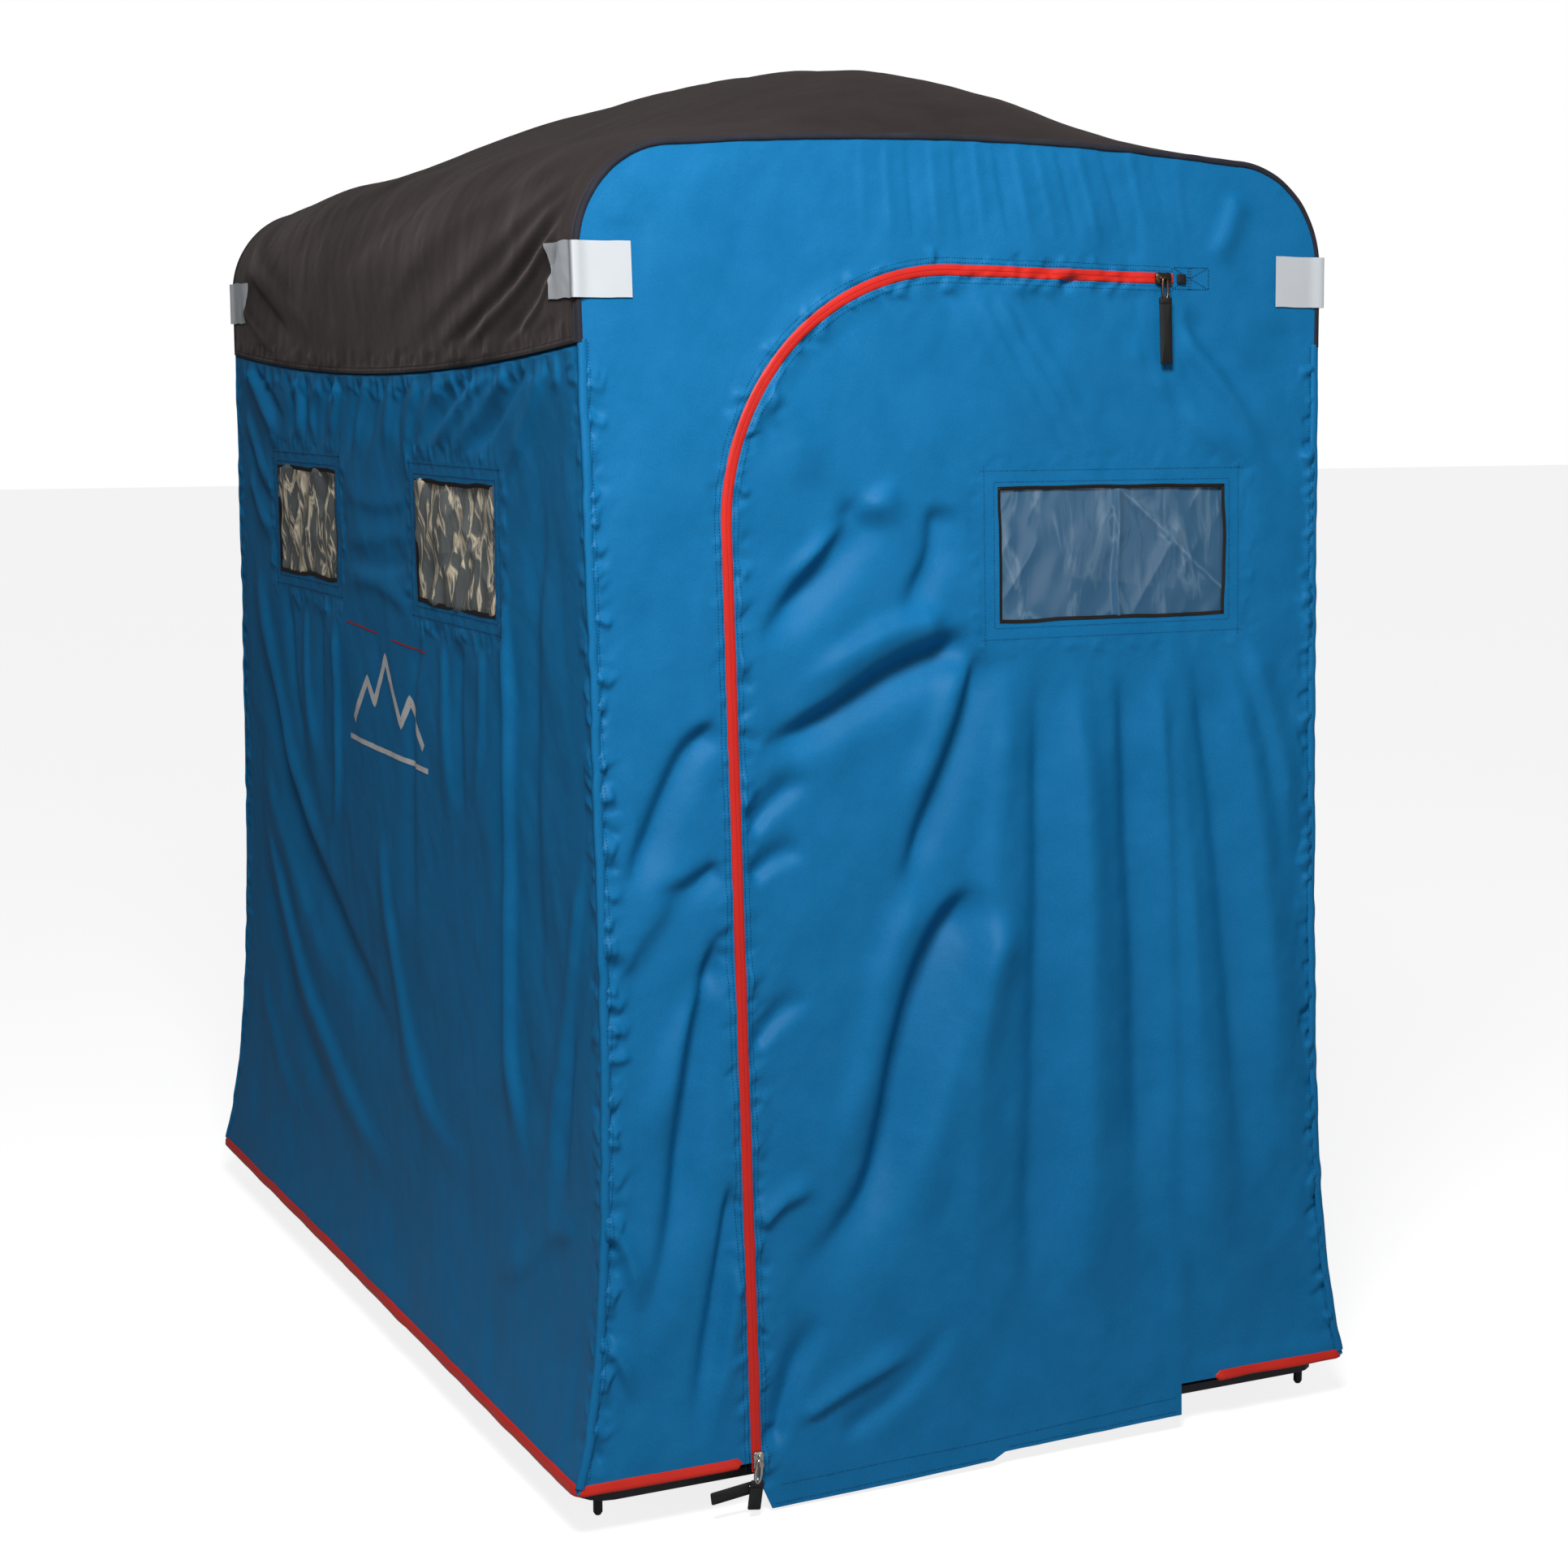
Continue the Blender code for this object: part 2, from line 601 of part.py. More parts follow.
def window_notch(fold, far):
    """The part of an outline that goes round a window, from the fold line to the window's far end."""
    return [(fold, WINDOW_HIGH), (far, WINDOW_HIGH), (far, WINDOW_LOW), (fold, WINDOW_LOW)]


def front_wall_outline():
    """An upside-down U around the doorway, with a notch for the window's far end."""
    right = end_outline(wall_foot())
    left = [(-x, z) for x, z in reversed(right[:-1])]
    zip_edge = offset_path(zip_path(), GAP)
    zip_edge[0] = (zip_edge[0][0], wall_foot())
    fold = DOOR_FOLD_X + GAP
    notch = window_notch(fold, FRONT_WINDOW[1])
    return right + left + zip_edge + [(fold, DOOR_TOP_END[1])] + notch + [(fold, wall_foot())]


def door_outline():
    zip_edge = offset_path(zip_path(), -GAP)
    fold = DOOR_FOLD_X - GAP
    foot = [(fold, FLAP_LOW_RIGHT), (FLAP_STEP_X + 0.012, FLAP_LOW_RIGHT - 0.002),
            (FLAP_STEP_X, FLAP_LOW_LEFT), (DOOR_LEFT_FOOT + 0.018, FLAP_LOW_LEFT - 0.004),
            (DOOR_LEFT_FOOT + 0.004, -0.020)]
    notch = window_notch(fold, FRONT_WINDOW[0])
    return zip_edge + [(fold, DOOR_TOP_END[1])] + notch + foot


def ribbon(path, near, far):
    """The outline of a strip that runs beside a path, between two distances from it."""
    return offset_path(path, far) + list(reversed(offset_path(path, near)))


def pane_outline(low, high):
    left, right = low + PANE_GAP, high - PANE_GAP
    bottom, top = WINDOW_LOW + PANE_GAP, WINDOW_HIGH - PANE_GAP
    return [(left, bottom), (right, bottom), (right, top), (left, top)]


def make_ends(blue, clear, red):
    end_panel("front_wall", front_wall_outline(), -1, 0.0, FABRIC, blue)
    door = end_panel("door_panel", door_outline(), -1, 0.0, FABRIC, blue)
    pane = end_panel("front_window", pane_outline(*FRONT_WINDOW), -1, PANE_DEPTH, PANE, clear)
    path = zip_path()
    path[0] = (path[0][0], TRIM_HEIGHT)
    tape_depth = -TAPE_THICK - GAP
    end_panel("zip_tape_wall", ribbon(path, GAP, TAPE_WIDTH), -1, tape_depth, TAPE_THICK, red)
    door_tape = end_panel("zip_tape_door", ribbon(path, -TAPE_WIDTH, -GAP), -1, tape_depth, TAPE_THICK, red)

    right = end_outline(wall_foot())
    outline = right + [(-x, z) for x, z in reversed(right[:-1])]
    rear = end_panel("rear_wall", outline, 1, 0.0, FABRIC, blue)
    low, high = REAR_WINDOW
    opening = box((low, 0.6, WINDOW_LOW + SKIRT_Z), (high, 0.9, WINDOW_HIGH + SKIRT_Z))
    cut(rear, add_object("rear_window_opening", opening, blue))
    end_panel("rear_window", pane_outline(*REAR_WINDOW), 1, PANE_DEPTH, PANE, clear)
    return door, pane, door_tape


def grid_solid(name, rows, depth, thickness, material, openings=()):
    """A sheet through rows of (point, normal), given its thickness and closed all round.

    openings lists the (row, column) cells that are left out.
    """
    mesh = bmesh.new()
    layers = []
    for inward in (depth, depth + thickness):
        layers.append([[mesh.verts.new(point - normal * inward) for point, normal in row] for row in rows])
    outer, inner = layers
    edges = set()
    for row in range(len(rows) - 1):
        for column in range(len(rows[0]) - 1):
            if (row, column) in openings:
                continue
            corners = [(row, column), (row, column + 1), (row + 1, column + 1), (row + 1, column)]
            mesh.faces.new([outer[r][c] for r, c in corners])
            mesh.faces.new([inner[r][c] for r, c in reversed(corners)])
            edges.update(zip(corners, corners[1:] + corners[:1]))
    for first, second in sorted(edges):
        if (second, first) not in edges:
            (row_a, column_a), (row_b, column_b) = first, second
            mesh.faces.new([outer[row_b][column_b], outer[row_a][column_a],
                            inner[row_a][column_a], inner[row_b][column_b]])
    loose = [vert for vert in mesh.verts if not vert.link_faces]
    bmesh.ops.delete(mesh, geom=loose, context="VERTS")
    return add_object(name, mesh, material)


def side_row(side, ys, heights):
    """Points and outward normals along a side wall, each pulled in to the wall's end."""
    row = []
    for y, height in zip(ys, heights):
        reach = half_length(height) - FABRIC - GAP
        place = max(-reach, min(reach, y))
        row.append((Vector((side * half_width(height), place, height + SKIRT_Z)), Vector((side, 0, 0))))
    return row


def level_rows(side, ys, levels):
    return [side_row(side, ys, [level] * len(ys)) for level in levels]


def make_side(hand, side, blue, clear):
    """A side wall with two window openings, from the trim up to the roof's seam."""
    window_ends = [span for window in SIDE_WINDOWS.values() for span in window]
    ys = [-PAST_END] + sorted(window_ends + [-0.600, 0.030, 0.600]) + [PAST_END]
    levels = [wall_foot(), 0.05, 0.10, 0.17, 0.26, 0.40, 0.65, WINDOW_LOW, WINDOW_HIGH]
    rows = level_rows(side, ys, levels)
    seam = [seam_height(min(abs(y), TOP_HALF_LENGTH)) - SEAM_CLEARANCE for y in ys]
    rows.append(side_row(side, ys, seam))
    window_row = levels.index(WINDOW_LOW)
    openings = [(window_row, ys.index(span[0])) for span in SIDE_WINDOWS.values()]
    grid_solid(f"{hand}_wall", rows, 0.0, FABRIC, blue, openings)
    for place, span in SIDE_WINDOWS.items():
        pane_ys = (span[0] + PANE_GAP, span[1] - PANE_GAP)
        rows = level_rows(side, pane_ys, (WINDOW_LOW + PANE_GAP, WINDOW_HIGH - PANE_GAP))
        grid_solid(f"{hand}_{place}_window", rows, PANE_DEPTH, PANE, clear)


def roof_section(y, side_rows=4):
    """Points and outward normals across the roof, from seam to seam."""
    right = []
    level = min(abs(y), TOP_HALF_LENGTH)
    seam = seam_height(level)
    for step in range(side_rows):
        height = seam + (CORNER_HEIGHT - seam) * step / side_rows
        right.append((half_width(height), height, 0.0))
    corner_steps = 6
    for index, (x, height) in enumerate(hoop_outline(corner_steps=corner_steps, crown_steps=8)):
        turn = min(1.0, index / corner_steps) * 0.5 * math.pi
        right.append((x, height, turn))
    points = []
    mirrored = [(-x, height, math.pi - turn) for x, height, turn in reversed(right[:-1])]
    for x, height, turn in right + mirrored:
        reach = half_length(height) - FABRIC - GAP
        place = y if abs(y) < 1 else math.copysign(reach, y)
        lift = ridge_lift(x, place, height)
        normal = Vector((math.cos(turn), 0, math.sin(turn)))
        points.append((Vector((x, place, height + lift + SKIRT_Z)), normal))
    return points


def make_roof(black):
    last_row = 0.66
    ys = [-PAST_END] + [last_row * (step / 7 - 1) for step in range(15)] + [PAST_END]
    grid_solid("roof_panel", [roof_section(y) for y in ys], 0.0, FABRIC, black)


def make_trim(red):
    """The red edging round the foot of the canopy, open across the doorway."""
    outer_x = half_width(0) + TRIM_OUT
    outer_y = half_length(0) + TRIM_OUT
    corner = 0.012
    path = [(TRIM_ENDS[0], -outer_y)]
    for centre_x, centre_y, start in ((-1, -1, 270), (-1, 1, 180), (1, 1, 90), (1, -1, 0)):
        for step in range(4):
            angle = math.radians(start - 30 * step)
            path.append((centre_x * (outer_x - corner) + corner * math.cos(angle),
                         centre_y * (outer_y - corner) + corner * math.sin(angle)))
    path.append((TRIM_ENDS[1], -outer_y))
    scale_x = 1 - TRIM_DEPTH / outer_x
    scale_y = 1 - TRIM_DEPTH / outer_y
    near_door = 0.4
    inner = [(x * scale_x if abs(x) > near_door else x, y * scale_y) for x, y in path]
    outline = path + list(reversed(inner))
    add_object("base_trim", prism(outline, SKIRT_Z, SKIRT_Z + TRIM_HEIGHT), red)


def make_patches(silver):
    """A reflective patch folded round each upright corner of the canopy."""
    height = (PATCH_LOW + PATCH_HIGH) / 2
    x = half_width(height) + PATCH_OVER_SIDE
    y = half_length(PATCH_LOW) + PATCH_OVER_END
    for end, side_y in (("front", -1), ("rear", 1)):
        for hand, side_x in (("left", -1), ("right", 1)):
            outer_x, outer_y = x + PATCH_THICK, y + PATCH_THICK
            outline = [(x - PATCH_ON_END, outer_y), (outer_x, outer_y), (outer_x, y - PATCH_ON_SIDE),
                       (x, y - PATCH_ON_SIDE), (x, y), (x - PATCH_ON_END, y)]
            placed = [(side_x * px, side_y * py) for px, py in outline]
            patch = prism(placed, SKIRT_Z + PATCH_LOW, SKIRT_Z + PATCH_HIGH)
            add_object(f"reflective_patch_{end}_{hand}", patch, silver)


# ---------------------------------------------------------------- zip sliders, pull tabs, stake loop
def slider_face(height):
    return -(half_length(height) + TAPE_THICK + 2 * GAP)


def make_slider(name, x, height, upright, metal):
    """A slider body on the tape, with two cheeks that hold the tab's cross pin; returns the pin's place."""
    back = slider_face(height) - SLIDER_BACK_GAP
    front = back - SLIDER_THICK
    along = SLIDER_LENGTH / 2
    across = SLIDER_WIDTH / 2
    half_x, half_z = (across, along) if upright else (along, across)
    z = height + SKIRT_Z
    body = box((x - half_x, front, z - half_z), (x + half_x, back, z + half_z))
    slider = add_object(name, body, metal)
    for side in (-1, 1):
        near, far = [x + side * distance for distance in CHEEK_SPAN]
        cheek = spanning_box((near, front - CHEEK_REACH, z - CHEEK_HALF_LENGTH),
                             (far, front + 0.001, z + CHEEK_HALF_LENGTH))
        join(slider, add_object(f"{name}_cheek", cheek, metal))
    pin_place = (x, front - PIN_OUT, z)
    pin = cylinder(pin_place, PIN_RADIUS, -0.005, 0.005, "X", 10)
    join(slider, add_object(f"{name}_pin", pin, metal))
    move_origin(slider, (x, front, z))
    return Vector(pin_place)


def make_tab(name, pin, length, material):
    """A flat pull that hangs from an eye round the slider's pin."""
    bore = PIN_RADIUS + GAP
    eye = turned([(bore, -0.0036), (0.0022, -0.0036), (0.0022, 0.0036), (bore, 0.0036)], pin, "X", 12)
    tab = add_object(name, eye, material)
    neck = box(pin + Vector((-0.0035, -0.0008, -0.012)), pin + Vector((0.0035, 0.0008, -0.0016)))
    join(tab, add_object(f"{name}_neck", neck, material))
    blade = box(pin + Vector((-TAB_WIDTH / 2, -TAB_HALF_THICK, -length)),
                pin + Vector((TAB_WIDTH / 2, TAB_HALF_THICK, -0.0105)))
    join(tab, add_object(f"{name}_blade", blade, material))
    move_origin(tab, pin)


def make_sliders(bronze, silver, dark):
    upper = make_slider("upper_slider", *UPPER_SLIDER_PLACE, False, bronze)
    make_tab("upper_pull_tab", upper, UPPER_TAB_LENGTH, dark)
    lower = make_slider("lower_slider", DOOR_LEFT_FOOT, LOWER_SLIDER_HEIGHT, True, silver)
    make_tab("lower_pull_tab", lower, LOWER_TAB_LENGTH, dark)
    end_panel("inner_pull_tab", INNER_TAB, -1, -INNER_TAB_OUT, TAPE_THICK, dark)


def make_stake_loop(dark):
    """A loop of dark cord sewn to a small patch on the right wall, close to the front corner."""
    middle = (LOOP_LOW + LOOP_HIGH) / 2
    ys = (LOOP_Y - LOOP_PATCH_HALF_WIDTH, LOOP_Y + LOOP_PATCH_HALF_WIDTH)
    rows = level_rows(1, ys, (LOOP_LOW - LOOP_PATCH_MARGIN, middle, LOOP_HIGH + LOOP_PATCH_MARGIN))
    grid_solid("loop_patch", rows, -LOOP_STAND_OFF - PATCH_THICK, PATCH_THICK, dark)
    reach = (LOOP_HIGH - LOOP_LOW) / 2
    foot = half_width(LOOP_LOW)
    head = half_width(LOOP_HIGH)
    stand_off = LOOP_STAND_OFF + PATCH_THICK + GAP + LOOP_WIRE
    points = []
    for step in range(15):
        angle = math.pi * (step / 14 - 0.5)
        share = 0.5 + 0.5 * math.sin(angle)
        face = foot + (head - foot) * share + stand_off
        points.append((face + LOOP_BULGE * math.cos(angle), LOOP_Y,
                       middle + reach * math.sin(angle) + SKIRT_Z))
    tube("stake_loop", points, LOOP_WIRE, dark, 2)


def main():
    clear_scene()
    blue = make_material("blue_cloth", (0.010, 0.170, 0.440), 0.7)
    black = make_material("roof_cloth", (0.038, 0.032, 0.029), 0.75)
    red = make_material("red_trim", (0.750, 0.025, 0.018), 0.5)
    silver = make_material("reflective", (0.80, 0.82, 0.84), 0.35)
    clear = make_material("clear_vinyl", (0.75, 0.78, 0.80), 0.08, alpha=0.4)
    plastic = make_material("base_plastic", (0.030, 0.028, 0.031), 0.5)
    dark = make_material("dark_fitting", (0.012, 0.012, 0.013), 0.55)
    steel = make_material("steel_tube", (0.55, 0.56, 0.58), 0.35, metallic=1.0)
    pole = make_material("pole", (0.06, 0.06, 0.06), 0.4)
    bronze = make_material("dark_bronze", (0.13, 0.09, 0.06), 0.35, metallic=1.0)
    zinc = make_material("zinc", (0.62, 0.58, 0.50), 0.3, metallic=1.0)

    make_base(plastic, steel)
    make_legs(steel, dark)
    make_frame(steel, dark, pole)
    door, pane, door_tape = make_ends(blue, clear, red)
    make_side("left", -1, blue, clear)
    make_side("right", 1, blue, clear)
    make_roof(black)
    make_trim(red)
    make_patches(silver)
    make_sliders(bronze, zinc, dark)
    make_stake_loop(dark)
    hinge_foot = Vector((DOOR_FOLD_X, -half_length(0), SKIRT_Z))
    hang_on("door_hinge", hinge_foot, [door, pane, door_tape])


main()
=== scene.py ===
"""Looks of the ice fishing shelter: canopy cloth, zip, windows, trim, fittings, light and camera."""
import math

import bpy
import numpy as np
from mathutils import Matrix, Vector
from mathutils.geometry import delaunay_2d_cdt
from mathutils.kdtree import KDTree


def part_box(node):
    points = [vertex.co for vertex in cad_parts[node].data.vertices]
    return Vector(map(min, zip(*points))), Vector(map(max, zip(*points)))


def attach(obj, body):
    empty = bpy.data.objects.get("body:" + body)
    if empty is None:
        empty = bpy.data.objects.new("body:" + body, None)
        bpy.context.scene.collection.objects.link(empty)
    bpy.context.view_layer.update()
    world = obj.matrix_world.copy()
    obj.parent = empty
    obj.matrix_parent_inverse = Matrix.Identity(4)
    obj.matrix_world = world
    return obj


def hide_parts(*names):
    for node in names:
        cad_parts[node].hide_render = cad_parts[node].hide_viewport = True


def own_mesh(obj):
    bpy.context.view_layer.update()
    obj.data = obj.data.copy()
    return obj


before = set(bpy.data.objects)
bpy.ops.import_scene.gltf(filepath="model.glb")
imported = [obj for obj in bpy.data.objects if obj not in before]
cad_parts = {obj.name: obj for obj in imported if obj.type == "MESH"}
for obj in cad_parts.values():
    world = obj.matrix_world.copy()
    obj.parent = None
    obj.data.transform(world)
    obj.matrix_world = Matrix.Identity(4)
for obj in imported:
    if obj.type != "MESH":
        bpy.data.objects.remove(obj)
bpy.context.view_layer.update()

# ---------------------------------------------------------------- dimensions, in metres
# Heights are measured from the underside of the red trim unless a name says Z.
TRIM_LOW, TRIM_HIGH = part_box("base_trim")
SKIRT_Z = TRIM_LOW.z
TRIM_TOP = TRIM_HIGH.z - SKIRT_Z
TRIM_PROUD = 0.002
FOOT_HALF_LENGTH = TRIM_HIGH.y - TRIM_PROUD
END_LEAN = 0.04615               # the end walls lean in by this much per metre of height
WAIST_HALF_WIDTH = 0.455
SHOULDER_GAIN = 0.010
SHOULDER_HEIGHT = 1.35
SKIRT_FLARE = 0.048
FLARE_DECAY = 0.17
CORNER_RADIUS = 0.115
CORNER_HEIGHT = 1.319
CROWN_DROP = 0.016
TOP_HALF_LENGTH = 0.700
RIDGE_RISE = 0.112
RIDGE_SPREAD = 0.278
SEAM_CORNER = 1.226
SEAM_MIDDLE = 1.197
CLOTH_FOOT = 0.004               # the cloth ends inside the trim
ARCH_SPLIT = 1.335               # above this the end walls go down with the hoops

ZIP_FOOT_X = -0.290
ZIP_TOP_X = -0.302
ZIP_BEND_HEIGHT = 1.032
ZIP_BEND_RADIUS = 0.275
ZIP_END = (0.262, 1.302)
FOLD_X = 0.265                   # the open door folds back about this line

OPENING = (0.031, 0.332, 0.918, 1.069)          # front window: left, right, low, high
SIDE_OPENINGS = ((-0.432, -0.143, 0.918, 1.069), (0.205, 0.494, 0.918, 1.069))
REAR_OPENING = (-0.152, 0.149, 0.918, 1.069)
FRAME_BAND = 0.020               # cloth between a window's opening and its outer stitching


# ---------------------------------------------------------------- shape of the canopy
def half_width(height):
    """Half the canopy's width: a waist that flares out at the foot and widens a little to the shoulders."""
    shoulder = SHOULDER_GAIN * (height / SHOULDER_HEIGHT) ** 2
    return WAIST_HALF_WIDTH + shoulder + SKIRT_FLARE * np.exp(-height / FLARE_DECAY)


def half_length(height):
    """Half the canopy's length; the end walls lean in."""
    return FOOT_HALF_LENGTH - END_LEAN * height


def seam_height(y):
    """Height of the seam between roof and side wall, which sags between the corners."""
    return SEAM_MIDDLE + (SEAM_CORNER - SEAM_MIDDLE) * np.minimum(abs(y) / TOP_HALF_LENGTH, 1.0) ** 2


def crown_line(steps=40):
    """The end wall's outline from the right shoulder, over the hoop's corner, to the middle."""
    centre_x = half_width(CORNER_HEIGHT) - CORNER_RADIUS
    angle = np.linspace(0, math.pi / 2, steps)
    corner = np.c_[centre_x + CORNER_RADIUS * np.cos(angle), CORNER_HEIGHT + CORNER_RADIUS * np.sin(angle)]
    x = np.linspace(centre_x, 0, steps)[1:]
    rise = CROWN_DROP * (1 - (x / centre_x) ** 2)
    return np.vstack([corner, np.c_[x, CORNER_HEIGHT + CORNER_RADIUS + rise]])


def end_half(bottom, steps=60):
    """Right half of an end wall's outline, from a height near its foot to the crown."""
    height = bottom + (CORNER_HEIGHT - bottom) * np.linspace(0, 1, steps) ** 1.5
    return np.vstack([np.c_[half_width(height), height][:-1], crown_line()])


def zip_path(steps=40):
    """The zip's line on the front wall: up from its foot, round the bend and along its top run."""
    bend_x = ZIP_TOP_X + ZIP_BEND_RADIUS
    angle = np.linspace(math.pi, math.pi / 2, steps)
    bend = np.c_[bend_x + ZIP_BEND_RADIUS * np.cos(angle), ZIP_BEND_HEIGHT + ZIP_BEND_RADIUS * np.sin(angle)]
    return np.vstack([[ZIP_FOOT_X, -0.006], bend, ZIP_END])


def ridge_lift(x, y, height):
    """How far the ridge pole lifts the roof into a dome."""
    along = np.maximum(0.0, 1 - (y / TOP_HALF_LENGTH) ** 4)
    fade = np.clip((height - CORNER_HEIGHT) / CORNER_RADIUS, 0, 1)
    return RIDGE_RISE * np.exp(-(x / RIDGE_SPREAD) ** 2) * along * fade


# ---------------------------------------------------------------- lines and fields
def ramp(t):
    """0 below 0, 1 above 1, and a smooth step between."""
    t = np.clip(t, 0, 1)
    return t * t * (3 - 2 * t)


def resample(line, step, closed=False):
    """The same line with points about step apart, its own corners included."""
    line = np.asarray(line, float)
    ends = np.roll(line, -1, axis=0) if closed else line[1:]
    points = []
    for start, end in zip(line, ends):
        count = max(1, int(round(np.linalg.norm(end - start) / step)))
        points.extend(start + (end - start) * k / count for k in range(count))
    if not closed:
        points.append(line[-1])
    return np.array(points)


def smooth_line(points, count):
    """A Catmull-Rom curve through a few points."""
    points = np.asarray(points, float)
    padded = np.vstack([2 * points[0] - points[1], points, 2 * points[-1] - points[-2]])
    spans = len(points) - 1
    out = []
    for t in np.linspace(0, spans - 1e-9, count):
        k = int(t)
        f = t - k
        a, b, c, d = padded[k:k + 4]
        out.append(0.5 * (2 * b + (c - a) * f + (2 * a - 5 * b + 4 * c - d) * f * f
                          + (3 * b - a - 3 * c + d) * f ** 3))
    return np.array(out)


def travelled(line):
    """The way along a line to each of its points."""
    return np.r_[0, np.cumsum(np.linalg.norm(np.diff(np.asarray(line), axis=0), axis=1))]


def side_normals(line):
    """Unit vectors to the left of a line at each of its points."""
    line = np.asarray(line, float)
    along = np.gradient(line, axis=0)
    along /= np.linalg.norm(along, axis=1)[:, None]
    return np.c_[-along[:, 1], along[:, 0]]


def line_distance(u, v, line):
    """Distance of each point (u, v) from a polyline."""
    best = np.full(len(u), 1e9)
    for (ax, ay), (bx, by) in zip(line[:-1], line[1:]):
        dx, dy = bx - ax, by - ay
        length = dx * dx + dy * dy + 1e-15
        t = np.clip(((u - ax) * dx + (v - ay) * dy) / length, 0, 1)
        best = np.minimum(best, (u - ax - t * dx) ** 2 + (v - ay - t * dy) ** 2)
    return np.sqrt(best)


def inside(u, v, loop):
    """True where (u, v) is inside a closed line."""
    result = np.zeros(len(u), bool)
    for (ax, ay), (bx, by) in zip(loop, np.roll(loop, -1, axis=0)):
        if ay == by:
            continue
        crosses = ((ay > v) != (by > v)) & (u < (bx - ax) * (v - ay) / (by - ay) + ax)
        result ^= crosses
    return result


def noise(u, v, size, seed, stretch=1.0, angle=0.0):
    """Smooth random values of about -1 to 1, with bumps of a size, drawn out along an angle in degrees."""
    c, s = math.cos(math.radians(angle)), math.sin(math.radians(angle))
    a = (u * c + v * s) / (size * stretch) + 100.5
    b = (-u * s + v * c) / size + 100.5
    lattice = np.random.default_rng(seed).uniform(-1, 1, (512, 512))
    i, j = np.floor(a).astype(int), np.floor(b).astype(int)
    fa, fb = a - i, b - j
    fa = fa ** 3 * (fa * (6 * fa - 15) + 10)
    fb = fb ** 3 * (fb * (6 * fb - 15) + 10)
    corner = lattice[i % 512, j % 512]
    right = lattice[(i + 1) % 512, j % 512]
    top = lattice[i % 512, (j + 1) % 512]
    far = lattice[(i + 1) % 512, (j + 1) % 512]
    return (corner * (1 - fa) + right * fa) * (1 - fb) + (top * (1 - fa) + far * fa) * fb


def in_metres(rows):
    """Folds for Folds below, from rows of points, height and width in millimetres, then the flare."""
    return [(tuple((u / 1000, v / 1000) for u, v in row[:-3]), row[-3] / 1000, row[-2] / 1000, row[-1])
            for row in rows]


class Folds:
    """Soft folds. Each is (points, height, width, flare): a ridge, or a valley where height is negative,
    along a curve through points, whose width grows flare times from its start to its end."""

    def __init__(self, folds):
        self.ready = []
        for points, height, width, flare in folds:
            line = smooth_line(points, 5 + 4 * len(points))
            reach = 2.6 * width * max(1.0, flare)
            self.ready.append((line[:-1], np.diff(line, axis=0), line.min(0) - reach, line.max(0) + reach,
                               height, width, flare))

    def __call__(self, u, v):
        out = np.zeros(len(u))
        low_u, high_u, low_v, high_v = u.min(), u.max(), v.min(), v.max()
        for start, span, low, high, height, width, flare in self.ready:
            if low[0] > high_u or high[0] < low_u or low[1] > high_v or high[1] < low_v:
                continue
            near = np.flatnonzero((u > low[0]) & (u < high[0]) & (v > low[1]) & (v < high[1]))
            if not len(near):
                continue
            offset = np.stack([u[near], v[near]], 1)[:, None, :] - start[None]
            t = np.clip((offset * span).sum(2) / (span * span).sum(1), 0, 1)
            gap = offset - t[..., None] * span
            square = (gap * gap).sum(2)
            k = square.argmin(1)
            row = np.arange(len(near))
            along = (k + t[row, k]) / len(start)
            side = np.sign(span[k, 0] * gap[row, k, 1] - span[k, 1] * gap[row, k, 0])
            wide = width * (1 + (flare - 1) * along) * (1 + 0.3 * side)
            taper = ramp(along / 0.18) * ramp((1 - along) / 0.35)
            out[near] += height * taper * np.exp(-square[row, k] / (wide * wide))
        return out


def puckers(line, seed, pitch, length, height, lean, side=1, width=0.0045):
    """Short folds that start at a seam and fan out on one side of it."""
    rng = np.random.default_rng(seed)
    line = resample(line, 0.004)
    normal = side_normals(line) * side
    along = np.c_[normal[:, 1], -normal[:, 0]]
    folds = []
    place = rng.uniform(0, pitch)
    while place < 0.004 * (len(line) - 1):
        k = int(place / 0.004)
        angle = math.radians(lean + rng.normal(0, 16))
        heading = normal[k] * math.cos(angle) + along[k] * math.sin(angle)
        size = length * rng.uniform(0.45, 1.5)
        start = line[k] + normal[k] * 0.002
        middle = start + heading * size * 0.5
        end = start + heading * size + along[k] * size * rng.normal(0, 0.12)
        high = height * rng.uniform(0.35, 1.3) * (1 if rng.random() < 0.6 else -0.8)
        folds.append(((start, middle, end), high, width * rng.uniform(0.7, 1.4), 1.9))
        place += pitch * rng.uniform(0.45, 1.7)
    return folds


# ---------------------------------------------------------------- making meshes
def rectangle(left, right, low, high):
    """A rectangle's corners, counterclockwise from the lower left."""
    return np.array([(left, low), (right, low), (right, high), (left, high)])


def waved_rectangle(bounds, seed, wave=0.0016):
    """A window's opening, whose sewn edges are never quite straight."""
    loop = resample(rectangle(*bounds), 0.006, closed=True)
    middle = loop.mean(0)
    shift = noise(loop[:, 0], loop[:, 1], 0.045, seed)
    out = loop - middle
    return loop + out / np.linalg.norm(out, axis=1)[:, None] * (shift * wave)[:, None]


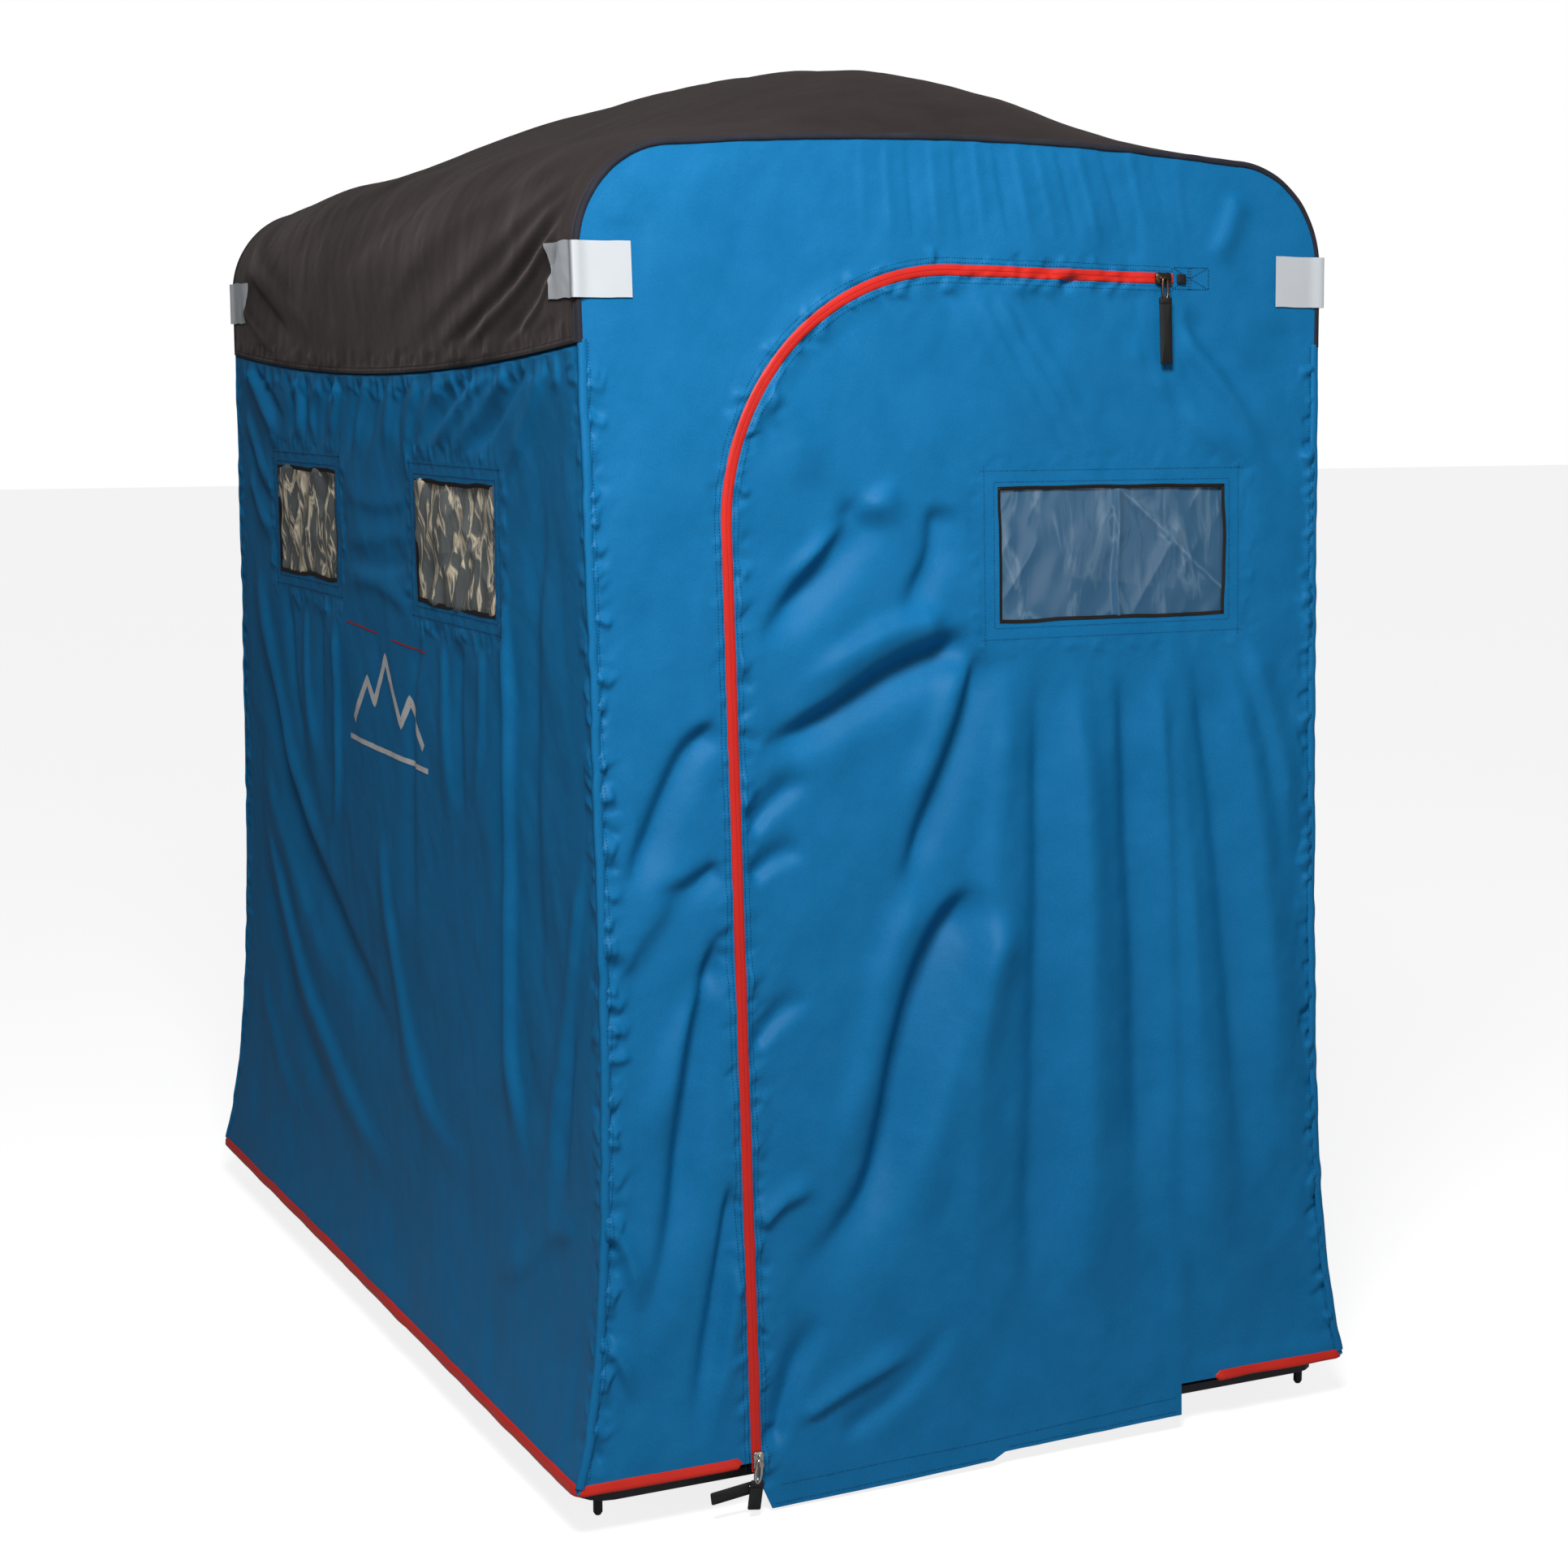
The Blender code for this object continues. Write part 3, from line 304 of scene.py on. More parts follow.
def triangulate(outline, holes, lines, coarse, fine, dense_lines, reach):
    """Points and triangles filling an outline less its holes, with finer triangles near some lines."""
    low, high = outline.min(0), outline.max(0)
    grids = []
    for step, is_fine in ((coarse, False), (fine, True)):
        us, vs = np.meshgrid(np.arange(low[0], high[0], step), np.arange(low[1], high[1], step * 0.87))
        us[1::2] += step / 2
        us, vs = us.ravel(), vs.ravel()
        gap = np.full(len(us), 1e9)
        for line in dense_lines:
            box_low, box_high = line.min(0) - reach - step, line.max(0) + reach + step
            near = (us > box_low[0]) & (us < box_high[0]) & (vs > box_low[1]) & (vs < box_high[1])
            gap[near] = np.minimum(gap[near], line_distance(us[near], vs[near], line))
        keep = gap < reach if is_fine else gap >= reach
        keep &= inside(us, vs, outline)
        for hole in holes:
            keep &= ~inside(us, vs, hole)
        grids.append(np.c_[us[keep], vs[keep]])
    constraints = [(resample(outline, fine, True), True)]
    constraints += [(resample(hole, fine, True), True) for hole in holes]
    constraints += [(resample(line, coarse if step is None else step), False) for line, step in lines]
    points, edges = [], []
    for line, closed in constraints:
        first = len(points)
        points.extend(line)
        edges.extend((first + k, first + k + 1) for k in range(len(line) - 1))
        if closed:
            edges.append((first + len(line) - 1, first))
    tree = KDTree(len(points))
    for k, point in enumerate(points):
        tree.insert((point[0], point[1], 0), k)
    tree.balance()
    for grid, step in zip(grids, (coarse, fine)):
        points.extend(p for p in grid if tree.find((p[0], p[1], 0))[2] > 0.5 * step)
    found = delaunay_2d_cdt([Vector(p) for p in points], edges, [], 0, 1e-7, False)
    points, faces = np.array([tuple(p) for p in found[0]]), np.array(found[2])
    centre = points[faces].mean(1)
    keep = inside(centre[:, 0], centre[:, 1], outline)
    for hole in holes:
        keep &= ~inside(centre[:, 0], centre[:, 1], hole)
    return points, faces[keep]


def vertex_normals(points, faces):
    """Area-weighted normals of a triangle mesh, so that pieces cut from one cloth shade alike."""
    a, b, c = points[faces[:, 0]], points[faces[:, 1]], points[faces[:, 2]]
    face = np.cross(b - a, c - a)
    out = np.zeros_like(points)
    for corner in range(3):
        for axis in range(3):
            out[:, axis] += np.bincount(faces[:, corner], face[:, axis], len(points))
    return out / np.maximum(np.linalg.norm(out, axis=1), 1e-12)[:, None]


def mesh_piece(name, points, faces, material, uv=None, normals=None):
    """An object from arrays, smooth shaded, with a UV map in metres where uv is given."""
    faces = np.asarray(faces)
    used, index = np.unique(faces, return_inverse=True)
    faces = index.reshape(faces.shape)
    mesh = bpy.data.meshes.new(name)
    mesh.from_pydata(points[used].tolist(), [], faces.tolist())
    mesh.polygons.foreach_set("use_smooth", np.ones(len(faces), bool))
    if uv is not None:
        layer = mesh.uv_layers.new(name="cloth")
        corners = np.zeros(len(mesh.loops), int)
        mesh.loops.foreach_get("vertex_index", corners)
        layer.data.foreach_set("uv", uv[used][corners].ravel())
    if normals is not None:
        mesh.normals_split_custom_set_from_vertices(normals[used].tolist())
    mesh.materials.append(material)
    obj = bpy.data.objects.new(name, mesh)
    bpy.context.scene.collection.objects.link(obj)
    return obj


def strip_faces(rows, columns):
    """Quads of a grid of points, rows by columns."""
    first = np.arange(rows - 1)[:, None] * columns + np.arange(columns - 1)[None]
    return np.stack([first, first + 1, first + columns + 1, first + columns], -1).reshape(-1, 4)


# ---------------------------------------------------------------- surfaces
class Surface:
    """A cloth surface: where (u, v) lies in space, how far the cloth stands out there, and its normal."""

    def __init__(self, place, field):
        self.place = place
        self.field = field

    def normal(self, u, v):
        step = 1e-4
        across = self.place(u + step, v) - self.place(u - step, v)
        up = self.place(u, v + step) - self.place(u, v - step)
        out = np.cross(across, up)
        return out / np.linalg.norm(out, axis=1)[:, None]

    def at(self, u, v, lift=0.0):
        u, v = np.asarray(u, float), np.asarray(v, float)
        return self.place(u, v) + self.normal(u, v) * (self.field(u, v) + lift)[:, None]


def place_front(x, height):
    """x counts to the right as seen from the front."""
    return np.stack([x, -half_length(height), height + SKIRT_Z], 1)


def place_rear(x, height):
    """x counts to the right as seen from behind, so that the normal points out."""
    return np.stack([-x, half_length(height), height + SKIRT_Z], 1)


def place_left(y, height):
    """y counts from the rear to the front, so that the normal points out."""
    return np.stack([-half_width(height), -y, height + SKIRT_Z], 1)


def place_right(y, height):
    """y counts from the front to the rear."""
    return np.stack([half_width(height), y, height + SKIRT_Z], 1)


# ---------------------------------------------------------------- folds, laid out one by one
# A row holds the points that a fold runs through, its height (a valley's is negative) and its width, all in
# millimetres, and how many times wider it ends than it starts.
ZIP_LINE = zip_path()
FRONT_HALF = end_half(CLOTH_FOOT)
ARCH = np.vstack([FRONT_HALF, (FRONT_HALF * (-1, 1))[::-1][1:]])

FRONT_ROWS = [
    # small diagonals between the zip and the window
    ((0, 1285), (55, 1190), (120, 1100), 1.8, 7, 1.3),
    ((26, 1285), (80, 1195), (142, 1105), 2, 7, 1.3),
    ((52, 1280), (105, 1195), (160, 1110), 1.6, 7, 1.3),
    ((-30, 1280), (20, 1200), (85, 1110), 1.2, 8, 1.3),
    # broad diagonals from the zip's end down to the right edge
    ((225, 1285), (320, 1190), (430, 1095), 4.6, 16, 1.4),
    ((270, 1270), (345, 1185), (430, 1060), -3.6, 14, 1.3),
    ((190, 1240), (280, 1150), (420, 1035), 3.2, 14, 1.4),
    # the big valleys that run down to the left
    ((-130, 1060), (-185, 990), (-275, 895), -10.5, 22, 0.8),
    ((-90, 1075), (-170, 1020), (-250, 960), 6, 18, 0.8),
    ((10, 905), (-95, 872), (-190, 822), (-280, 785), -13, 21, 0.8),
    ((-30, 930), (-130, 905), (-230, 850), 7, 22, 0.9),
    ((14, 900), (-20, 800), (-66, 690), (-95, 610), -9, 15, 1.3),
    ((-20, 890), (-50, 800), (-95, 700), 4.6, 18, 1.2),
    ((10, 625), (-55, 560), (-98, 450), (-140, 290), (-255, 180), -15, 21, 1.3),
    ((40, 600), (-10, 500), (-60, 360), (-120, 230), 8.5, 26, 1.3),
    ((-60, 640), (-115, 540), (-150, 410), (-195, 290), 6, 26, 1.1),
    ((-45, 1055), (-55, 990), (-95, 925), -6, 17, 1),
    # beside the zip
    ((-285, 700), (-250, 735), (-205, 765), -6, 12, 1.4),
    ((-285, 650), (-250, 672), (-210, 682), -5, 11, 1.4),
    ((-283, 465), (-255, 495), (-215, 525), -5, 11, 1.3),
    ((-283, 265), (-250, 292), (-205, 305), 4.6, 10, 1.3),
    ((-275, 1180), (-225, 1140), (-205, 1060), 3.8, 22, 1.2),
    # near the door's foot
    ((-270, 10), (-245, 85), (-205, 165), -7.5, 12, 1.5),
    ((-240, 40), (-170, 72), (-80, 105), 4.8, 9, 1.6),
    ((-190, 10), (-100, 60), (-30, 140), -3.4, 12, 1.5),
    # hanging folds under the window
    ((45, 885), (20, 640), (-10, 330), (0, 60), 5.2, 18, 2.2),
    ((85, 885), (80, 600), (70, 300), (65, 40), -5.6, 16, 2.2),
    ((128, 888), (140, 620), (140, 300), (145, 40), 7, 17, 2.3),
    ((195, 885), (205, 700), (215, 400), (215, 60), -6.4, 16, 2.3),
    ((235, 880), (262, 640), (300, 330), (330, 60), 5.2, 15, 2.5),
    ((330, 880), (370, 700), (395, 450), (405, 200), 5.8, 17, 1.8),
    ((290, 880), (320, 700), (345, 420), (365, 150), -4.4, 15, 2),
    ((360, 890), (405, 760), (430, 600), 4, 14, 1.4),
    # the strip to the left of the zip
    ((-312, 822), (-355, 792), (-400, 700), (-425, 640), -8, 14, 1.4),
    ((-312, 672), (-355, 650), (-400, 640), -4.8, 12, 1.3),
    ((-310, 610), (-342, 520), (-362, 420), (-380, 290), (-425, 150), -10.5, 14, 1.4),
    ((-325, 560), (-375, 470), (-400, 350), 5.5, 18, 1.2),
    ((-309, 330), (-332, 210), (-365, 30), -6, 9, 1.8),
    ((-306, 240), (-322, 140), (-350, 20), 4, 8, 1.8),
    ((-445, 560), (-400, 620), (-330, 700), 4.6, 20, 1.2),
    ((-478, 300), (-440, 262), (-425, 190), 5, 9, 1.3),
    ((-488, 170), (-455, 150), (-430, 90), 4.4, 8, 1.3),
]
# fine hanging lines between the hoop and the zip's top run: where each starts, its lean and its height
HANGING_LINES = [(-135, 4, 0.45), (-105, 6, 0.81), (-78, 8, -0.63), (-50, 10, 0.765), (-22, 13, -0.63),
                 (3, 17, 0.99), (30, 22, -0.765), (52, 26, 0.99), (80, 30, 0.765), (108, 32, -0.765),
                 (132, 36, 0.99), (165, 40, -0.63), (200, 38, 0.9), (232, 30, -0.81), (262, 22, 0.63)]
FRONT_ROWS += [((x, 1452), (x + lean / 2, 1390), (x + lean, 1328), high, 6.5, 1)
               for x, lean, high in HANGING_LINES]
FRONT_ROWS += [((352, 1402), (335, 1355), (312, 1318), 3, 14, 1)]
FRONT_FOLDS = in_metres(FRONT_ROWS)


def corner_line(side, low, high):
    """An end wall's upright edge between two heights."""
    height = np.linspace(low, high, 60)
    return np.c_[side * (half_width(height) - 0.001), height]


FRONT_FOLDS += puckers(ZIP_LINE, 11, 0.0125, 0.026, 0.0018, 52, -1)
FRONT_FOLDS += puckers(ZIP_LINE, 12, 0.0150, 0.022, 0.0014, -48, 1)
FRONT_FOLDS += puckers(corner_line(-1, 0.01, 1.22), 13, 0.0140, 0.022, 0.0022, 25, -1)
FRONT_FOLDS += puckers(corner_line(1, 0.01, 1.22), 14, 0.0160, 0.020, 0.0018, -25, 1)


def window_puckers(bounds, seed, height=0.0012, length=0.016):
    """Gathers outside the stitched frame of a window."""
    left, right, low, high = bounds
    loop = rectangle(left - FRAME_BAND, right + FRAME_BAND, low - FRAME_BAND, high + FRAME_BAND)
    loop = np.vstack([loop, loop[:1]])
    folds = []
    for k in range(4):
        side = loop[k:k + 2]
        folds += puckers(side, seed + k, 0.013, length, height, 0, -1)
        folds += puckers(side, seed + 10 + k, 0.011, 0.012, height * 0.7, 0, 1, 0.0035)
    return folds


FRONT_FOLDS += window_puckers(OPENING, 20)


def window_pin(u, v, bounds, inner=0.010):
    """0 in a window's sewn frame, rising to 1 a little way outside it."""
    left, right, low, high = bounds
    du = np.maximum(np.maximum(left - u, u - right), 0)
    dv = np.maximum(np.maximum(low - v, v - high), 0)
    return ramp((np.hypot(du, dv) - inner) / 0.045)


def weathering(u, v, seed):
    """Shallow random billows that no seam controls."""
    broad = 0.0030 * noise(u, v, 0.16, seed) + 0.0013 * noise(u, v, 0.060, seed + 1, 1.7, 65)
    fine = 0.00045 * noise(u, v, 0.022, seed + 2, 2.2, 70) + 0.00016 * noise(u, v, 0.009, seed + 3, 1.6, 40)
    return broad, fine


FRONT_SHAPE = Folds(FRONT_FOLDS)
BILLOW_GAIN = 1.4                # how much deeper the front's billows are than weathering's
FOLD_GAIN = 1.9                  # and its folds than their rows say
REST_LIFT = 0.0003               # the cloth's least distance from the wall's plain shape
HEM_CENTRE, HEM_HALF = -0.012, 0.279          # the doorway, where the cloth hangs past the trim
TAB_X, TAB_FOOT = 0.247, 1.180   # where the upper pull tab hangs


def patch_share(x, height):
    """1 where a reflective patch lies on an end wall, and the cloth is calm."""
    return ramp((abs(x) - 0.375) / 0.02) * ramp((height - 1.235) / 0.03) * ramp((1.36 - height) / 0.02)


def field_front(x, height):
    """How far the front cloth stands out: least at the seams, the zip, the fold line and the patches."""
    edge = line_distance(x, height, ARCH[::3])
    zip_gap = line_distance(x, height, ZIP_LINE[::2])
    window = window_pin(x, height, OPENING)
    hold = ramp(edge / 0.045) * ramp((height + 0.05) / 0.06)
    calm = ramp((zip_gap - 0.006) / 0.030)
    broad, fine = weathering(x, height, 31)
    folds = FRONT_SHAPE(x, height)
    loose = ramp(edge / 0.004)
    out = BILLOW_GAIN * broad * hold * calm
    out += FOLD_GAIN * folds * loose * (0.25 + 0.75 * window) + fine * loose
    out *= 0.35 + 0.65 * window
    out *= ramp((zip_gap - 0.004) / 0.008)
    off_fold = abs(x - FOLD_X) + np.maximum(0, height - ZIP_END[1])
    out *= ramp((off_fold - 0.002) / 0.022)
    under_tab = ramp((0.034 - abs(x - TAB_X)) / 0.016) * ramp((height - TAB_FOOT) / 0.02)
    foot = ramp((height - 0.010) / 0.030) + (abs(x - HEM_CENTRE) < HEM_HALF) * (height < 0.05)
    return out * (1 - 0.8 * patch_share(x, height)) * (1 - 0.7 * under_tab) * np.minimum(foot, 1) + REST_LIFT


def field_rear(x, height):
    """How far the rear cloth stands out."""
    edge = line_distance(x, height, ARCH[::3])
    window = window_pin(x, height, REAR_OPENING)
    hold = ramp(edge / 0.05) * ramp(height / 0.05)
    broad, fine = weathering(x, height, 61)
    out = (broad * 1.3 * hold + 1.5 * REAR_SHAPE(x, height) * ramp(edge / 0.004)) * (0.2 + 0.8 * window)
    return (out + fine) * (1 - 0.8 * patch_share(x, height)) * ramp((height - 0.008) / 0.020) + REST_LIFT


REAR_FOLDS = window_puckers(REAR_OPENING, 40)
REAR_FOLDS += puckers(corner_line(-1, 0.01, 1.22), 45, 0.0150, 0.022, 0.0020, 25, -1)
REAR_FOLDS += puckers(corner_line(1, 0.01, 1.22), 46, 0.0150, 0.022, 0.0020, -25, 1)
REAR_FOLDS += in_metres([
    ((-170, 890), (-230, 700), (-290, 450), (-330, 150), 8, 18, 2),
    ((-120, 885), (-150, 650), (-180, 350), (-190, 60), -7, 16, 2.1),
    ((-60, 885), (-70, 600), (-60, 300), (-70, 50), 7, 17, 2.2),
    ((10, 885), (15, 650), (40, 330), (35, 50), -6, 16, 2.2),
    ((80, 885), (110, 600), (130, 300), (160, 60), 7.4, 17, 2.2),
    ((160, 885), (220, 700), (270, 450), (300, 180), -7.5, 18, 2),
    ((170, 900), (260, 780), (370, 560), (430, 330), 8.5, 20, 1.7),
    ((-180, 905), (-290, 800), (-380, 620), (-440, 400), -8, 18, 1.7),
    ((-170, 1085), (-270, 1150), (-400, 1260), 6, 15, 1.5),
    ((170, 1085), (270, 1160), (410, 1250), 6, 15, 1.5),
    ((-100, 1095), (-130, 1220), (-150, 1420), 3.6, 12, 1.4),
    ((0, 1095), (5, 1250), (10, 1430), -3.4, 12, 1.4),
    ((100, 1095), (125, 1230), (150, 1420), 3.6, 12, 1.4),
])
REAR_SHAPE = Folds(REAR_FOLDS)


def varied(folds, seed, along, up):
    """The same folds a little moved and with other heights, for the side that isn't seen."""
    rng = np.random.default_rng(seed)
    return [(tuple((y + rng.normal(0, along), h + rng.normal(0, up)) for y, h in points),
             height * rng.uniform(0.6, 1.2), width, flare) for points, height, width, flare in folds]


def side_folds(mirror):
    """Folds of a side wall, in (y, height); the near corner is at y = -0.7."""
    folds = in_metres([
        # fans from the seam to the front window
        ((-620, 1215), (-550, 1140), (-465, 1070), 4.6, 11, 1.2),
        ((-555, 1205), (-450, 1145), (-330, 1092), -6, 14, 1),
        ((-520, 1210), (-400, 1150), (-290, 1100), 5, 12, 1),
        ((-440, 1200), (-320, 1150), (-225, 1100), 5.6, 12, 1),
        ((-395, 1200), (-290, 1160), (-190, 1112), -6, 13, 1),
        ((-320, 1200), (-230, 1165), (-160, 1100), 5.2, 12, 1.1),
        # between the windows
        ((-190, 1190), (-140, 1150), (-118, 1100), (-130, 1060), 5.6, 12, 1.2),
        ((-120, 1188), (-85, 1150), (-75, 1090), -5, 12, 1.2),
        ((-60, 1190), (-45, 1150), (-15, 1090), 4.6, 12, 1.2),
        ((0, 1190), (20, 1150), (60, 1090), -4.6, 12, 1.2),
        ((40, 1190), (70, 1150), (110, 1080), 4.8, 11, 1.3),
        ((80, 1190), (110, 1140), (150, 1080), -6, 13, 1.2),
        ((-120, 1040), (20, 1030), (180, 1045), 2.6, 12, 1.2),
        ((-120, 1000), (30, 985), (180, 975), 3, 14, 1.2),
        ((-120, 965), (20, 950), (180, 955), -2.6, 12, 1.2),
        ((-110, 905), (30, 930), (180, 925), 3.6, 14, 1.2),
        # over and beyond the rear window
        ((170, 1185), (190, 1150), (225, 1100), 5.6, 10, 1.2),
        ((215, 1190), (240, 1160), (265, 1098), -5.6, 10, 1.2),
        ((260, 1190), (300, 1150), (300, 1098), 5.6, 12, 1.1),
        ((320, 1195), (340, 1160), (345, 1098), -6, 11, 1.2),
        ((370, 1195), (360, 1150), (385, 1098), 5.4, 11, 1.2),
        ((420, 1200), (400, 1150), (430, 1098), -5.2, 11, 1.2),
        ((650, 1215), (560, 1160), (460, 1095), 8, 15, 0.9),
        ((610, 1210), (530, 1170), (430, 1125), -5.6, 12, 1),
        ((670, 1150), (590, 1080), (515, 1030), 6, 15, 0.9),
        ((660, 1060), (590, 1000), (515, 965), 5.6, 14, 0.9),
        ((665, 1105), (590, 1045), (515, 1000), -4.6, 12, 1),
        # hanging from the front window's near edge
        ((-462, 985), (-474, 800), (-456, 560), (-462, 400), (-530, 265), 10.5, 16, 1.3),
        ((-440, 890), (-440, 720), (-425, 500), (-430, 360), -7, 18, 1.4),
        ((-590, 1080), (-560, 900), (-545, 640), (-560, 440), -5, 22, 1.4),
        ((-705, 720), (-650, 520), (-600, 370), (-590, 280), 7, 14, 1.3),
        ((-690, 560), (-640, 400), (-620, 250), -6, 16, 1.4),
        ((-700, 270), (-600, 240), (-520, 180), (-400, 150), 4.4, 18, 1.3),
        # long curves across the lower wall
        ((40, 620), (5, 490), (-60, 370), (-180, 270), (-380, 230), 6.2, 20, 1.2),
        ((610, 820), (480, 620), (350, 510), (160, 400), (-80, 290), -12.5, 26, 1.3),
        ((640, 950), (530, 740), (390, 580), (230, 480), 8.5, 26, 1.2),
        ((640, 640), (500, 510), (350, 400), (160, 310), 6, 28, 1.2),
        ((640, 560), (470, 385), (300, 270), (100, 190), (-80, 150), 8.5, 18, 1.4),
        ((660, 480), (520, 340), (360, 230), (180, 150), -6, 22, 1.2),
        ((660, 300), (540, 200), (380, 120), 4, 20, 1.3),
        # under the windows
        ((-380, 885), (-370, 800), (-340, 680), 4, 10, 1.6),
        ((-300, 885), (-285, 790), (-290, 620), -4.4, 11, 1.8),
        ((-230, 885), (-235, 780), (-250, 640), 4.4, 11, 1.8),
        ((-150, 890), (-110, 780), (-90, 620), (-100, 450), -5.6, 16, 1.7),
        ((215, 890), (225, 760), (240, 620), (290, 560), 6, 12, 1.4),
        ((290, 885), (300, 790), (320, 680), -4, 11, 1.6),
        ((380, 885), (365, 760), (330, 620), 4.8, 12, 1.6),
        ((470, 890), (440, 760), (380, 640), -5.6, 14, 1.4),
    ])
    return varied(folds, 7, 0.012, 0.008) if mirror else folds


def side_seams(seed):
    """Puckers along a side wall's own seams and windows."""
    ys = np.linspace(-0.70, 0.70, 60)
    seam = np.c_[ys, seam_height(ys) - 0.002]
    folds = puckers(seam, seed, 0.017, 0.030, 0.0026, 0, -1, 0.006)
    heights = np.linspace(0.01, 1.21, 60)
    for side in (-1, 1):
        edge = np.c_[side * (half_length(heights) - 0.001), heights]
        folds += puckers(edge, seed + 3 + side, 0.016, 0.024, 0.0020, 20 * side, side)
    for k, bounds in enumerate(SIDE_OPENINGS):
        folds += window_puckers(bounds, seed + 30 + 30 * k, 0.0024, 0.024)
    return folds


def make_side_field(seed, mirror):
    """A function of (y, height) that says how far a side wall's cloth stands out."""
    folds = Folds(side_folds(mirror) + side_seams(seed))

    def field(y, height):
        seam = seam_height(y)
        end = half_length(height) - abs(y)
        window = window_pin(y, height, SIDE_OPENINGS[0]) * window_pin(y, height, SIDE_OPENINGS[1])
        hold = ramp(end / 0.06) * ramp(height / 0.06) * ramp((seam - height) / 0.05)
        broad, fine = weathering(y, height, seed + 200)
        shape = folds(y, height) * ramp(end / 0.005) * ramp((height - 0.004) / 0.02)
        shape *= (0.35 + 0.65 * ramp((seam - height) / 0.026)) * ramp((height - 0.010) / 0.025)
        legs = ramp((abs(abs(y) - 0.679) - 0.010) / 0.030)
        out = (broad * 1.2 * hold + shape) * (0.2 + 0.8 * window) + fine
        out = np.where(out < 0, out * (0.35 + 0.65 * legs), out)
        tuck = -0.0036 * ramp((height - seam + 0.004) / 0.004)
        return out * ramp((seam + 0.004 - height) / 0.010) + 0.0012 + tuck

    return field


# ---------------------------------------------------------------- materials
def new_material(name):
    """A material with its node tree and its Principled shader."""
    material = bpy.data.materials.new(name)
    material.use_nodes = True
    tree = material.node_tree
    return material, tree, tree.nodes["Principled BSDF"]


def add_node(tree, kind, links=None, **values):
    """A node with its sockets set by name (spaces as underscores) and linked from (node, output) pairs."""
    node = tree.nodes.new(kind)
    for key, value in values.items():
        if hasattr(node, key):
            setattr(node, key, value)
        else:
            node.inputs[key.replace("_", " ")].default_value = value
    for key, (source, output) in (links or {}).items():
        tree.links.new(source.outputs[output], node.inputs[key])
    return node


def ramp_node(tree, source, output, stops):
    """A colour ramp fed by a node's output; stops are (position, color), lowest first."""
    node = tree.nodes.new("ShaderNodeValToRGB")
    elements = node.color_ramp.elements
    elements[0].position, elements[0].color = stops[0][0], (*stops[0][1], 1)
    elements[1].position, elements[1].color = stops[-1][0], (*stops[-1][1], 1)
    for position, color in stops[1:-1]:
        elements.new(position).color = (*color, 1)
    tree.links.new(source.outputs[output], node.inputs["Fac"])
    return node


def cloth_material(name, dark, base, light, roughness, sheen, weave=0.00055):
    """Woven nylon: crossing threads, faint mottling, a soft sheen and slight dust."""
    material, tree, shader = new_material(name)
    uv = add_node(tree, "ShaderNodeUVMap")
    uv.uv_map = "cloth"
    turn = add_node(tree, "ShaderNodeMapping", {"Vector": (uv, "UV")})
    warp = add_node(tree, "ShaderNodeTexWave", {"Vector": (turn, "Vector")}, bands_direction="X",
                    Scale=0.314 / weave, Distortion=0.6, Detail=1.0)
    weft = add_node(tree, "ShaderNodeTexWave", {"Vector": (turn, "Vector")}, bands_direction="Y",
                    Scale=0.314 / weave, Distortion=0.6, Detail=1.0)
    threads = add_node(tree, "ShaderNodeMath", operation="MAXIMUM")
    tree.links.new(warp.outputs["Fac"], threads.inputs[0])
    tree.links.new(weft.outputs["Fac"], threads.inputs[1])
    mottle = add_node(tree, "ShaderNodeTexNoise", {"Vector": (uv, "UV")}, Scale=16.0, Detail=6.0,
                      Roughness=0.66)
    shade = ramp_node(tree, mottle, "Fac", ((0.28, dark), (0.52, base), (0.80, light)))
    grain = add_node(tree, "ShaderNodeTexNoise", {"Vector": (uv, "UV")}, Scale=420.0, Detail=2.0)
    fleck = add_node(tree, "ShaderNodeMixRGB", {"Color1": (shade, "Color"), "Color2": (grain, "Fac")},
                     blend_type="OVERLAY", Fac=0.16)
    tree.links.new(fleck.outputs["Color"], shader.inputs["Base Color"])
    rough = add_node(tree, "ShaderNodeMapRange", {"Value": (mottle, "Fac")})
    rough.inputs["To Min"].default_value = roughness - 0.06
    rough.inputs["To Max"].default_value = roughness + 0.08
    tree.links.new(rough.outputs["Result"], shader.inputs["Roughness"])
    creases = add_node(tree, "ShaderNodeTexNoise", {"Vector": (uv, "UV")}, Scale=46.0, Detail=5.0,
                       Roughness=0.55)
    soft = add_node(tree, "ShaderNodeBump", {"Height": (creases, "Fac")}, Strength=0.35, Distance=0.0016)
    bump = add_node(tree, "ShaderNodeBump", {"Height": (threads, "Value"), "Normal": (soft, "Normal")},
                    Strength=0.30, Distance=0.00016)
    tree.links.new(bump.outputs["Normal"], shader.inputs["Normal"])
    shader.inputs["Sheen Weight"].default_value = sheen
    shader.inputs["Sheen Roughness"].default_value = 0.42
    shader.inputs["Sheen Tint"].default_value = (*(c / max(light) for c in light), 1.0)
    shader.inputs["Specular IOR Level"].default_value = 0.12
    return material


